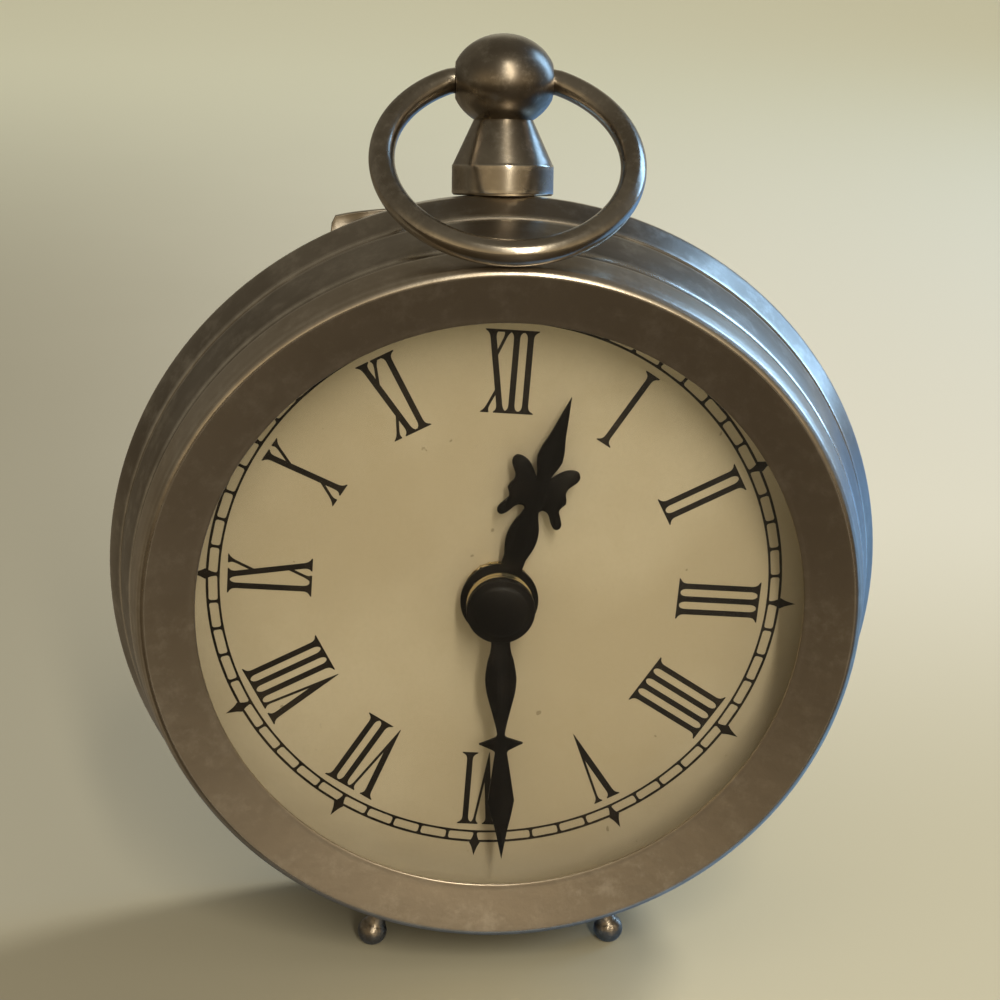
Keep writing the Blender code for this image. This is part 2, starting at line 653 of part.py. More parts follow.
def build_box():
    parts = {}
    inside = BOX_HALF - BOX_WALL
    outline = rounded_square(BOX_HALF, BOX_CORNER)

    split = BOX_SPLIT - GAP / 2
    floor = BOX_FRONT + BOX_FACE
    cuts = [
        block(-inside, inside, *WHEEL_BAY, floor, split + 1),
        block(-inside, inside, *BATTERY_BAY, floor, split + 1),
        rod(CENTRE_HOLE, -floor - 1, -BOX_FRONT + 1, SMALL_STEPS),
    ]
    cuts += [at(rod(0.95, -floor - 1, -floor + 1, 8), *axis) for axis in AXES]
    parts["movement_front"] = cut(plate([outline], -split, -BOX_FRONT), *cuts)

    split = BOX_SPLIT + GAP / 2
    ceiling = BOX_REAR - BOX_FACE
    cuts = [
        block(-inside, inside, *WHEEL_BAY, split - 1, ceiling),
        block(-inside, inside, *BATTERY_BAY, split - 1, BOX_REAR + 1),
        rod(HOUR_PIPE_BORE, -BOX_REAR - 1, -ceiling + 1, TINY_STEPS),
    ]
    cuts += [at(rod(0.95, -ceiling - 1, -ceiling + 1, 8), *axis) for axis in AXES]
    parts["movement_rear"] = cut(plate([outline], -BOX_REAR, -split), *cuts)

    end = BATTERY_LENGTH / 2
    cell = [(0, -end), (BATTERY_RADIUS, -end), (BATTERY_RADIUS, end - 1.2), (2.7, end - 1.2)]
    cell += [(2.7, end), (0, end)]
    lying = Matrix.Translation((0, BATTERY_HEIGHT, -BATTERY_DEPTH)) @ Matrix.Rotation(math.pi / 2, 4, "Y")
    parts["battery"] = moved(turned(cell, SMALL_STEPS), lying)
    for name, left, right in (
        ("contact_negative", -end - GAP - 0.4, -end - GAP),
        ("contact_positive", end + GAP, end + GAP + 0.4),
    ):
        front, rear = BATTERY_DEPTH - 5.2, BATTERY_DEPTH + 4.8
        parts[name] = block(left, right, BATTERY_HEIGHT - 5, BATTERY_HEIGHT + 5, front, rear)
    return parts


def build_motor():
    parts = {}
    coil = [(0, 7.3), (2.75, 7.3), (2.75, 8.1), (2.3, 8.1), (2.3, 25.9), (2.75, 25.9)]
    coil += [(2.75, 26.7), (0, 26.7)]
    core = block(-1.2, 1.2, 3.5, 31.0, -0.4, 0.4)
    left = 3.8 - BOX_HALF
    upright = Matrix.Translation((left + 2.2, -9.5, -LEVELS[4] - 1.7))
    standing = upright @ Matrix.Rotation(-math.pi / 2, 4, "X")
    parts["coil"] = joined(moved(turned(coil, 16), standing), moved(core, upright))
    x, y = ROTOR_AXIS
    stator = [
        (left, 22.3), (x + 3.6, 22.3), (x + 4.6, 21.3), (x + 4.6, 14.5), (x + 3.6, 13.5),
        (left + 11.0, 13.5), (left + 11.0, -6.2), (left, -6.2), (left, -3.2),
        (left + 7.2, -3.2), (left + 7.2, 18.4), (left, 18.4),
    ]
    parts["stator"] = plate(
        [stator, circle(3.1, 16, (x, y))], -LEVELS[4] - 0.2 - WHEEL_THICKNESS, -LEVELS[4] - 0.2
    )
    magnet = rod(2.6, -LEVELS[4] - 1.05, 0.2 - LEVELS[4], 16)
    pinion = gear(6, TRAIN_MODULE, 5, facing(6, math.pi))
    parts["rotor"] = at(joined(arbor(), magnet, pinion), x, y)
    right = BOX_HALF - BOX_WALL - 0.6
    board_front = BOX_REAR - 3.2
    parts["circuit_board"] = block(right - 8.5, right, -10.0, 22.0, board_front, board_front + 1.0)
    can = Matrix.Translation((right - 4.5, 8.0, 1.4 - board_front)) @ (
        Matrix.Rotation(math.pi / 2, 4, "X")
    )
    parts["quartz_can"] = moved(rod(1.0, -3.0, 3.0, TINY_STEPS), can)
    return parts


def build_wheels():
    parts = {}
    parts["intermediate_wheel"] = at(
        joined(
            arbor(),
            gear(30, TRAIN_MODULE, 5, math.pi),
            gear(6, TRAIN_MODULE, 4, facing(6, INTERMEDIATE_TURN)),
        ),
        *INTERMEDIATE_AXIS,
    )
    parts["seconds_wheel"] = at(
        joined(
            arbor(),
            gear(36, TRAIN_MODULE, 4, INTERMEDIATE_TURN),
            gear(6, TRAIN_MODULE, 3, facing(6, SECONDS_TURN)),
        ),
        *SECONDS_AXIS,
    )
    parts["third_wheel"] = at(
        joined(
            arbor(),
            gear(45, TRAIN_MODULE, 3, SECONDS_TURN),
            gear(6, CENTRE_MODULE, 2, facing(6, THIRD_TURN)),
        ),
        *THIRD_AXIS,
    )
    parts["centre_wheel"] = gear(48, CENTRE_MODULE, 2, THIRD_TURN, MINUTE_BORE)
    parts["minute_arbor"] = joined(
        rod(MINUTE_ARBOR_RADIUS, -BOX_REAR - 3.0, 0.75 - MINUTE_FRONT, TINY_STEPS),
        gear(10, MOTION_MODULE, 1, math.pi),
        rod(1.9, -LEVELS[2] - 2.0, -LEVELS[2] - WHEEL_THICKNESS - GAP, TINY_STEPS),
    )
    parts["setting_wheel"] = at(
        joined(
            arbor(),
            gear(30, MOTION_MODULE, 1, facing(30, math.pi)),
            gear(8, MOTION_MODULE, 0, facing(8, math.pi)),
        ),
        *SETTING_AXIS,
    )
    pipe_rear = -LEVELS[0] - WHEEL_THICKNESS
    pipe = tube(HOUR_PIPE_RADIUS, HOUR_PIPE_BORE, pipe_rear, 0.15 - HOUR_FRONT, 16)
    parts["hour_wheel"] = joined(pipe, gear(32, MOTION_MODULE, 0, math.pi, HOUR_PIPE_BORE + 0.4))
    parts["set_knob"] = tube(6.5, MINUTE_BORE, -BOX_REAR - 3.5, -BOX_REAR - 0.5, SMALL_STEPS)
    return parts


for leftover in list(bpy.data.objects):
    bpy.data.objects.remove(leftover)

NICKEL = material("aged nickel", (0.42, 0.39, 0.35), 1.0, 0.4)
STEEL = material("steel", (0.55, 0.55, 0.56), 1.0, 0.35)
BRASS = material("brass", (0.72, 0.52, 0.22), 1.0, 0.3)
BLACK = material("black lacquer", (0.02, 0.02, 0.02), 0.0, 0.4)
PAPER = material("aged dial", (0.72, 0.66, 0.48), 0.0, 0.7)
GLASS = material("glass", (0.9, 0.95, 0.95), 0.0, 0.05, 0.2)
PLASTIC = material("black plastic", (0.03, 0.03, 0.03), 0.0, 0.5)
WHITE = material("white plastic", (0.8, 0.8, 0.78), 0.0, 0.5)
RUBBER = material("rubber", (0.05, 0.05, 0.05), 0.0, 0.8)
COPPER = material("copper wire", (0.7, 0.3, 0.15), 1.0, 0.35)
BOARD = material("circuit board", (0.05, 0.25, 0.1), 0.0, 0.5)
LABEL = material("battery sleeve", (0.12, 0.2, 0.45), 0.3, 0.4)

LOOKS = {
    "glass": GLASS, "dial": PAPER, "glass_ring": STEEL, "spacer_ring": STEEL,
    "dial_ring": STEEL, "finial_washer": STEEL, "finial_nut": STEEL,
    "foot_nut_left": STEEL, "foot_nut_right": STEEL, "hour_hand": BLACK,
    "minute_hand": BLACK, "hand_cap": BLACK, "hand_collar": BRASS, "bush": BRASS,
    "bush_nut": BRASS, "bush_washer": BRASS, "gasket": RUBBER, "movement_front": PLASTIC,
    "movement_rear": PLASTIC, "battery": LABEL, "contact_negative": STEEL,
    "contact_positive": STEEL, "coil": COPPER, "stator": STEEL, "rotor": STEEL,
    "circuit_board": BOARD, "quartz_can": STEEL, "intermediate_wheel": WHITE,
    "seconds_wheel": WHITE, "third_wheel": WHITE, "centre_wheel": WHITE,
    "minute_arbor": STEEL, "setting_wheel": WHITE, "hour_wheel": WHITE, "set_knob": WHITE,
}

parts = {}
for build in (
    build_case, build_finial, build_bow, build_feet, build_hands, build_centre,
    build_box, build_motor, build_wheels,
):
    parts.update(build())

# The clock stands on the rim's lowest point and both feet, with the middle of its depth over the origin.
depths = [-vertex.co.z for mesh in parts.values() for vertex in mesh.vertices]
clock_axis = bpy.data.objects.new("clock_axis", None)
clock_axis.location = (0, -(min(depths) + max(depths)) / 2, RIM_RADIUS * MM)
clock_axis.rotation_euler = (math.pi / 2, 0, 0)
bpy.context.scene.collection.objects.link(clock_axis)

for name, mesh in parts.items():
    mesh.name = name
    mesh.materials.clear()
    mesh.materials.append(LOOKS.get(name, NICKEL))
    part = bpy.data.objects.new(name, mesh)
    part.parent = clock_axis
    bpy.context.scene.collection.objects.link(part)

print(f"axis at depth {(min(depths) + max(depths)) / 2 / MM:.4f} mm of the middle")
print(f"bow rests {math.degrees(resting_angle()):.3f} degrees forward, pivot {tuple(round(c, 4) for c in PIVOT)}")
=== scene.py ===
"""Looks of the pocket watch table clock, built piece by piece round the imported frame, in metres."""

import contextlib
import json
import math

import bmesh
import bpy
from mathutils import Matrix, Vector
from mathutils.geometry import delaunay_2d_cdt


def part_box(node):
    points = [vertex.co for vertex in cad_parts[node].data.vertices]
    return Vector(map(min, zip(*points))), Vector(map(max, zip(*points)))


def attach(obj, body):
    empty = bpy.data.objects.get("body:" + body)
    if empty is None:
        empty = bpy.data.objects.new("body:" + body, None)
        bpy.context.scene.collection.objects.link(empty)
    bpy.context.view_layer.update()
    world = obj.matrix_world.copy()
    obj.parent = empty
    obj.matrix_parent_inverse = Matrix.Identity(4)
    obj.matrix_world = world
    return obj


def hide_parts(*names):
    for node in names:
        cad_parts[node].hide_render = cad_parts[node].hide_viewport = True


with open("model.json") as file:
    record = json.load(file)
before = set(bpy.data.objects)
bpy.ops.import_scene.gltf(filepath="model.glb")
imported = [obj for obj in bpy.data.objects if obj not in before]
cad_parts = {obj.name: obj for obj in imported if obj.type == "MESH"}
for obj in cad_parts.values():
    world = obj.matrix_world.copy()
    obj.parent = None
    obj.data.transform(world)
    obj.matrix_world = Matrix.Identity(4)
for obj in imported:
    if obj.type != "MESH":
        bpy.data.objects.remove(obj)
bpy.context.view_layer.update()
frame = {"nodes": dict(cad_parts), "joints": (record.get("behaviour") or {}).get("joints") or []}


# Table top: the clock stands on a wide, satin, cream painted board that runs on behind it.
# Its colour holds painted shade, darker in front and on the left, and painted light, paler on the
# right where the window lights it and far behind.
FLOOR_HALF = 9.0
FLOOR_PAINTED_SHADE_LEFT = (0.385, 0.362, 0.275, 1)
FLOOR_PAINTED_LIGHT_RIGHT = (0.77, 0.735, 0.60, 1)
FLOOR_PAINTED_SHADE_FRONT = (0.56, 0.525, 0.385, 1)
FLOOR_PAINTED_LIGHT_FAR = (0.77, 0.79, 0.63, 1)
# Painted reflections: what metal and glass see in place of the board. They see painted shade in
# front, a painted dim room on the left, and the window's painted sheen on the right and far behind.
# The camera doesn't see them.
REFLECTED_SHADE_FRONT = (0.045, 0.032, 0.018, 1)
REFLECTED_DIM_LEFT = (0.19, 0.165, 0.125, 1)
REFLECTED_SHEEN_RIGHT = (0.20, 0.38, 0.68, 1)
REFLECTED_SHEEN_FAR = (0.60, 0.57, 0.46, 1)
# Where one colour turns into the next, in metres: x runs to the right and y to the back. The first
# two shares are of how far aside a place is for its distance from the camera.
LEFT_TO_RIGHT, LEFT_TO_MIDDLE = (-0.24, 0.2), (-0.25, 0.0)
FRONT_TO_MIDDLE, NEAR_TO_FAR = (0.0, 0.24), (0.3, 1.3)
MIRRORED_SIDES, MIRRORED_FRONT, MIRRORED_FAR = (-0.12, 0.14), (-0.02, -0.07), (0.4, 1.6)
CAMERA_BEHIND, LEAST_WIDENING, CLOUDINESS = 0.35, 0.32, 0.04


def node(tree, kind, inputs=None, **settings):
    """A new node with its settings and its inputs, each a value or another node's socket."""
    made = tree.nodes.new(kind)
    for name, value in settings.items():
        setattr(made, name, value)
    for name, value in (inputs or {}).items():
        if isinstance(value, bpy.types.NodeSocket):
            tree.links.new(value, made.inputs[name])
        else:
            made.inputs[name].default_value = value
    return made


def blend_colour(tree, share, low, high):
    mix = node(tree, "ShaderNodeMix", {0: share, 6: low, 7: high}, data_type="RGBA")
    return mix.outputs[2]


def spread(tree, value, low, high, start=0.0, end=1.0):
    """A value from low to high, brought to start to end with soft ends."""
    inputs = {0: value, 1: low, 2: high, 3: start, 4: end}
    return node(tree, "ShaderNodeMapRange", inputs, interpolation_type="SMOOTHSTEP").outputs[0]


def sums(tree, operation, *values):
    inputs = dict(enumerate(values))
    return node(tree, "ShaderNodeMath", inputs, operation=operation).outputs[0]


def new_material(name):
    made = bpy.data.materials.new(name)
    made.use_nodes = True
    return made, made.node_tree, made.node_tree.nodes["Principled BSDF"]


def feed(tree, shader, **inputs):
    """Sets the shader's sockets: underscores in a name stand for spaces."""
    for name, value in inputs.items():
        socket = shader.inputs[name.replace("_", " ")]
        if isinstance(value, bpy.types.NodeSocket):
            tree.links.new(value, socket)
        else:
            socket.default_value = value


board, tree, shader = new_material("cream board")
place = node(tree, "ShaderNodeTexCoord").outputs["Object"]
spot = node(tree, "ShaderNodeSeparateXYZ", {0: place}).outputs
clouds = node(tree, "ShaderNodeTexNoise", {"Vector": place, "Scale": 9.0, "Detail": 3.0}).outputs[0]
grain = node(tree, "ShaderNodeTexNoise", {"Vector": place, "Scale": 900.0, "Detail": 2.0})
relief = {"Strength": 0.04, "Distance": 0.0002, "Height": grain.outputs[0]}
bump = node(tree, "ShaderNodeBump", relief)
widening = sums(tree, "MAXIMUM", sums(tree, "ADD", spot[1], CAMERA_BEHIND), LEAST_WIDENING)
aside = sums(tree, "DIVIDE", spot[0], widening)
aside = sums(tree, "ADD", aside, sums(tree, "MULTIPLY", clouds, CLOUDINESS))
# Painted light and shade: the board's colour darkens in front and on the left and pales on the right
# and far off.
painted_shading = blend_colour(tree, spread(tree, spot[1], *FRONT_TO_MIDDLE), FLOOR_PAINTED_SHADE_FRONT, FLOOR_PAINTED_LIGHT_RIGHT)
painted_shading = blend_colour(tree, spread(tree, aside, *LEFT_TO_RIGHT), FLOOR_PAINTED_SHADE_LEFT, painted_shading)
painted_shading = blend_colour(tree, spread(tree, spot[1], *NEAR_TO_FAR), painted_shading, FLOOR_PAINTED_LIGHT_FAR)
# Painted reflections: glossy and transmission rays see painted shade in front and painted sheen aside
# and far off.
light = node(tree, "ShaderNodeLightPath").outputs
mirrored = sums(tree, "MAXIMUM", light["Is Glossy Ray"], light["Is Transmission Ray"])
sides = blend_colour(tree, spread(tree, spot[0], *MIRRORED_SIDES), REFLECTED_DIM_LEFT, REFLECTED_SHEEN_RIGHT)
far_off = sums(
    tree, "MULTIPLY", spread(tree, spot[1], *MIRRORED_FAR), spread(tree, aside, *LEFT_TO_MIDDLE)
)
sides = blend_colour(tree, far_off, sides, REFLECTED_SHEEN_FAR)
painted_reflection = blend_colour(tree, spread(tree, spot[1], *MIRRORED_FRONT), sides, REFLECTED_SHADE_FRONT)
feed(
    tree, shader, Roughness=0.5, Specular_IOR_Level=0.25, Normal=bump.outputs[0],
    Base_Color=blend_colour(tree, mirrored, painted_shading, painted_reflection),
)
sheet = bmesh.new()
bmesh.ops.create_grid(sheet, x_segments=8, y_segments=8, size=FLOOR_HALF)
mesh = bpy.data.meshes.new("floor")
sheet.to_mesh(mesh)
sheet.free()
mesh.materials.append(board)
floor = bpy.data.objects.new("floor", mesh)
bpy.context.scene.collection.objects.link(floor)


# Light: a cool window on the right and behind, a tall warm lamp in front, and the day from behind
# on the right, which throws the clock's shadow forward. The room is dim and brown, with a paler
# wall straight behind the clock. The world's directions run from -1 to 1.
WINDOW_COLOUR = (0.33, 0.60, 1.0)
LAMP_COLOUR = (1.0, 0.91, 0.74)
DAY_COLOUR = (1.0, 0.93, 0.80)
FILL_COLOUR = (1.0, 0.90, 0.76)
ROOM_COLOUR = (0.165, 0.145, 0.110, 1)
ROOM_FRONT = (0.60, 0.47, 0.29, 1)
ROOM_BACK = (0.54, 0.51, 0.40, 1)
BACKGROUND = (0.55, 0.53, 0.39, 1)
CLOCK_MIDDLE = Vector((0, 0, 0.075))
FRONT_HALF, HIGH_TO_LEVEL = (0.0, -0.9), (0.75, 0.0)
WALL_EDGES, WALL_LEFT_EDGE = (0.72, 0.95), (-0.25, 0.02)


def aimed(name, light, place):
    """A light put in its place, facing the clock; only what it lights shows it."""
    holder = bpy.data.objects.new(name, light)
    holder.location = place
    holder.rotation_euler = (CLOCK_MIDDLE - Vector(place)).to_track_quat("-Z", "Y").to_euler()
    holder.visible_camera = False
    bpy.context.scene.collection.objects.link(holder)
    return holder


def soft_box(name, place, colour, watts, wide, tall):
    light = bpy.data.lights.new(name, "AREA")
    light.color, light.energy = colour, watts
    light.shape, light.size, light.size_y = "RECTANGLE", wide, tall
    return aimed(name, light, place)


def distant(name, way, colour, strength, spread_degrees):
    """Light from far off that metal doesn't mirror."""
    light = bpy.data.lights.new(name, "SUN")
    light.color, light.energy, light.angle = colour, strength, math.radians(spread_degrees)
    aimed(name, light, CLOCK_MIDDLE + Vector(way)).visible_glossy = False


soft_box("window", (0.95, 0.55, 0.56), WINDOW_COLOUR, watts=6.1, wide=0.35, tall=0.82)
soft_box("front_lamp", (0.21, -1.0, 0.85), LAMP_COLOUR, watts=8.2, wide=0.10, tall=0.9)
distant("day", (0.76, 0.64, 0.92), DAY_COLOUR, strength=1.5, spread_degrees=12)
distant("fill", (0.2, -0.5, 1.2), FILL_COLOUR, strength=0.68, spread_degrees=80)
room = bpy.data.worlds.new("room")
room.use_nodes = True
tree = room.node_tree
way = node(tree, "ShaderNodeTexCoord").outputs["Generated"]
way = node(tree, "ShaderNodeSeparateXYZ", {0: way}).outputs
in_front = spread(tree, way[1], *FRONT_HALF)
low_down = spread(tree, way[2], *HIGH_TO_LEVEL)
glow = sums(tree, "MULTIPLY", in_front, low_down)
glow = blend_colour(tree, glow, ROOM_COLOUR, ROOM_FRONT)
straight_back = spread(tree, way[1], *WALL_EDGES)
not_left = spread(tree, way[0], *WALL_LEFT_EDGE)
wall = sums(tree, "MULTIPLY", straight_back, not_left)
glow = blend_colour(tree, wall, glow, ROOM_BACK)
camera_ray = node(tree, "ShaderNodeLightPath").outputs["Is Camera Ray"]
feed(tree, tree.nodes["Background"], Color=blend_colour(tree, camera_ray, glow, BACKGROUND))
bpy.context.scene.world = room
bpy.context.scene.view_settings.view_transform = "Standard"


# Camera: held above the clock and a little to its left, looking down at it. Its place is counted
# from the middle of the bezel's front, and its lens is in millimetres for a 36 mm frame.
LENS, FRAME_WIDTH = 69.44, 36.0
CAMERA_OFFSET = Vector((-0.0216, -0.3068, 0.1350))
CAMERA_PITCH, CAMERA_YAW, CAMERA_ROLL = (math.radians(a) for a in (20.0, 3.83, 1.484))

low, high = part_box("dial")
AXIS_FRONT = Vector((0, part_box("bezel")[0].y, (low.z + high.z) / 2))
ahead = Vector(
    (
        math.sin(CAMERA_YAW) * math.cos(CAMERA_PITCH),
        math.cos(CAMERA_YAW) * math.cos(CAMERA_PITCH),
        -math.sin(CAMERA_PITCH),
    )
)
level = Vector((math.cos(CAMERA_YAW), -math.sin(CAMERA_YAW), 0))
upright = level.cross(ahead)
rightward = level * math.cos(CAMERA_ROLL) + upright * math.sin(CAMERA_ROLL)
upward = upright * math.cos(CAMERA_ROLL) - level * math.sin(CAMERA_ROLL)
camera = bpy.data.objects.new("camera", bpy.data.cameras.new("camera"))
camera.data.lens = LENS
camera.data.sensor_width = FRAME_WIDTH
camera.data.clip_start = 0.01
turn = Matrix((rightward, upward, -ahead)).transposed().to_4x4()
camera.matrix_world = Matrix.Translation(AXIS_FRONT + CAMERA_OFFSET) @ turn
bpy.context.scene.collection.objects.link(camera)
bpy.context.scene.camera = camera


# Drum: the round case, spun from sheet and nickel plated, then aged with a brown patina.
# It steps out from the bezel's neck to a rim and tapers to the back; the edges are rubbed bright,
# and on its steps the bright wear is also a painted highlight.
MM = 0.001
ROUND_STEPS = 192
# Clock's own frame in millimetres: x right, y up, z towards the reader. Profiles are in it: each
# point is a radius and a depth behind the bezel's front, with its fillet and its wear if needed.
CLOCK = (
    Matrix.Translation(AXIS_FRONT) @ Matrix.Rotation(math.radians(90), 4, "X") @ Matrix.Scale(MM, 4)
)
# The step edges given a wear of 1.0 are rubbed bright and also carry a painted highlight line.
DRUM_PROFILE = [
    (61.9, 3.9), (61.9, 6.9), (64.6, 6.9, 0.15, 1.0), (65.15, 7.6, 0.5, 1.0), (66.15, 10.6, 1.4),
    (67.05, 13.8, 1.4), (67.75, 16.75, 0.2, 1.0), (67.45, 17.2, 0.2), (68.05, 17.65, 0.25, 1.0),
    (70.3, 22.5, 0.5), (70.6, 23.3, 0.4), (70.45, 24.1, 0.5), (67.9, 38.0, 0.3),
    (67.5, 38.5, 0.2), (66.35, 38.5), (69.1, 23.6), (66.25, 16.9), (63.9, 8.2), (60.7, 8.2),
    (60.7, 3.9),
]
# A corner that turns by the full bend, in degrees, is worn through. A fillet takes at most a share
# of the side next to it, and a flat beside it that is longer than the least gets its own edge.
FULL_WEAR_BEND, LARGEST_FILLET, LEAST_FLAT = 45, 0.45, 0.12


def filleted(profile, fillet, closed, arc=4, worn=0.7):
    """A profile of (radius, depth[, fillet[, wear]]) with its corners rounded, as points of
    (radius, depth, wear). Wear is 1 on a sharp outer corner and fades within the worn distance.
    A point with a fillet of 0 lies on a curve and stays as it is."""
    points = [Vector(point[:2]) for point in profile]
    area = sum(a.x * b.y - b.x * a.y for a, b in zip(points, points[1:] + points[:1]))
    sign = 1 if area > 0 else -1
    count, done = len(points), []
    for i, point in enumerate(points):
        on_curve = len(profile[i]) > 2 and profile[i][2] == 0
        if on_curve or (not closed and i in (0, count - 1)):
            done.append((point.x, point.y, 0.0))
            continue
        before, after = points[i - 1] - point, points[(i + 1) % count] - point
        reach = min(before.length, after.length)
        size = min(profile[i][2] if len(profile[i]) > 2 else fillet, LARGEST_FILLET * reach)
        turning = sign * math.atan2((-before).cross(after), (-before).dot(after))
        wear = max(0.0, min(1.0, math.degrees(turning) / FULL_WEAR_BEND))
        wear = profile[i][3] if len(profile[i]) > 3 else wear
        first, last = point + before.normalized() * size, point + after.normalized() * size
        room_before, room_after = before.length / 2 - size, after.length / 2 - size
        if room_before > LEAST_FLAT:
            edge = first + before.normalized() * min(worn, room_before)
            done.append((edge.x, edge.y, 0.0))
        for step in range(arc + 1):
            t = step / arc
            spot = first * (1 - t) ** 2 + point * 2 * t * (1 - t) + last * t**2
            done.append((spot.x, spot.y, wear * (1 - 0.5 * abs(2 * t - 1))))
        if room_after > LEAST_FLAT:
            edge = last + after.normalized() * min(worn, room_after)
            done.append((edge.x, edge.y, 0.0))
    return done


def turned(name, profile, fillet=0.1, closed=True, steps=ROUND_STEPS, reach=None):
    """A mesh turned about the clock's axis, in millimetres, from a profile of (radius, depth).
    An open profile starts and ends on the axis. reach gives what a point adds to its radius at
    an angle."""
    line = filleted(profile, fillet, closed)
    if sum(a[0] * b[1] - b[0] * a[1] for a, b in zip(line, line[1:] + line[:1])) > 0:
        line = line[::-1]
    shape = bmesh.new()
    worn = shape.verts.layers.float.new("wear")
    chart = shape.loops.layers.uv.new("turning")
    rings, runs, run = [], [], 0.0
    for i, (radius, depth, wear) in enumerate(line):
        if i:
            run += math.dist(line[i - 1][:2], (radius, depth))
        runs.append(run)
        if radius < 1e-6:
            rings.append([shape.verts.new((0, 0, -depth))] * steps)
            continue
        ring = []
        for step in range(steps):
            turn = 2 * math.pi * step / steps
            long = radius + (reach(radius, turn) if reach else 0.0)
            ring.append(shape.verts.new((long * math.cos(turn), long * math.sin(turn), -depth)))
            ring[-1][worn] = wear
        rings.append(ring)
    pairs = list(zip(range(len(rings)), range(1, len(rings))))
    if closed:
        pairs.append((len(rings) - 1, 0))
    for low_ring, high_ring in pairs:
        start = runs[low_ring]
        end = runs[high_ring] if high_ring else run + math.dist(line[-1][:2], line[0][:2])
        for step in range(steps):
            after = (step + 1) % steps
            corners = [
                (rings[low_ring][step], step, start), (rings[low_ring][after], step + 1, start),
                (rings[high_ring][after], step + 1, end), (rings[high_ring][step], step, end),
            ]
            kept = [c for j, c in enumerate(corners) if c[0] not in [d[0] for d in corners[:j]]]
            face = shape.faces.new([corner[0] for corner in kept])
            for loop, (_, around, along) in zip(face.loops, kept):
                loop[chart].uv = (around / steps, along)
    mesh = bpy.data.meshes.new(name)
    shape.to_mesh(mesh)
    shape.free()
    return mesh


def shaded(mesh, degrees=35):
    for polygon in mesh.polygons:
        polygon.use_smooth = True
    mesh.set_sharp_from_angle(angle=math.radians(degrees))
    return mesh


def piece(name, mesh, material, body, slot, *nodes, place=CLOCK):
    """Puts a mesh in its place in the clock, gives it its material and rides it on its body."""
    mesh.name = name
    mesh.transform(place)
    mesh.materials.clear()
    mesh.materials.append(material)
    made = bpy.data.objects.new(name, mesh)
    bpy.context.scene.collection.objects.link(made)
    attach(made, body)
    if nodes:
        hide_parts(*nodes)
    return made


def new_group(name, inputs, outputs):
    """A shader node group with named sockets; an input gives its type and default."""
    group = bpy.data.node_groups.new(name, "ShaderNodeTree")
    for label, (kind, value) in inputs.items():
        socket = group.interface.new_socket(label, in_out="INPUT", socket_type=kind)
        socket.default_value = value
    for label, kind in outputs.items():
        group.interface.new_socket(label, in_out="OUTPUT", socket_type=kind)
    return group, group.nodes.new("NodeGroupInput").outputs, group.nodes.new("NodeGroupOutput")


FLOAT, COLOUR, VECTOR = "NodeSocketFloat", "NodeSocketColor", "NodeSocketVector"

# Patina: brown tarnish in clouds, paler rubbed patches, bright metal where the edges are worn.
# Every nickel plated piece has it, each with its own colours and its own pattern by the seed.
patina, given, out = new_group(
    "patina",
    {
        "Place": (VECTOR, (0, 0, 0)), "Wear": (FLOAT, 0.0), "Seed": (FLOAT, 0.0),
        "Dark": (COLOUR, (0.1, 0.1, 0.1, 1)), "Middle": (COLOUR, (0.3, 0.3, 0.3, 1)),
        "Bright": (COLOUR, (0.6, 0.6, 0.6, 1)), "Cloud Scale": (FLOAT, 40.0),
        "Rubbing": (FLOAT, 0.5), "Roughness": (FLOAT, 0.38),
    },
    {"Color": COLOUR, "Roughness": FLOAT},
)


def noise(tree, place, scale, detail, seed, rough=0.55):
    inputs = {"Vector": place, "Scale": scale, "Detail": detail, "W": seed, "Roughness": rough}
    return node(tree, "ShaderNodeTexNoise", inputs, noise_dimensions="4D").outputs[0]


clouds = noise(patina, given["Place"], given["Cloud Scale"], 4.0, given["Seed"])
fine_scale = sums(patina, "MULTIPLY", given["Cloud Scale"], 7.0)
patches = noise(patina, given["Place"], fine_scale, 5.0, given["Seed"], 0.7)
specks = noise(patina, given["Place"], 2600.0, 2.0, given["Seed"], 0.6)
colour = blend_colour(patina, spread(patina, clouds, 0.36, 0.66), given["Dark"], given["Middle"])
rubbed = sums(patina, "MULTIPLY", spread(patina, patches, 0.46, 0.78), given["Rubbing"])
colour = blend_colour(patina, rubbed, colour, given["Bright"])
breaks = spread(patina, patches, 0.25, 0.62, 0.35, 1.0)
edge = sums(patina, "MULTIPLY", given["Wear"], breaks)
colour = blend_colour(patina, edge, colour, given["Bright"])
soot = spread(patina, specks, 0.66, 0.74, 0.0, 0.5)
colour = blend_colour(patina, soot, colour, given["Dark"])
cloudy = spread(patina, clouds, 0.3, 0.7, 0.06, -0.05)
rough = sums(patina, "ADD", given["Roughness"], cloudy)
rough = sums(patina, "SUBTRACT", rough, sums(patina, "MULTIPLY", edge, 0.12))
for label, value in (("Color", colour), ("Roughness", rough)):
    patina.links.new(value, out.inputs[label])

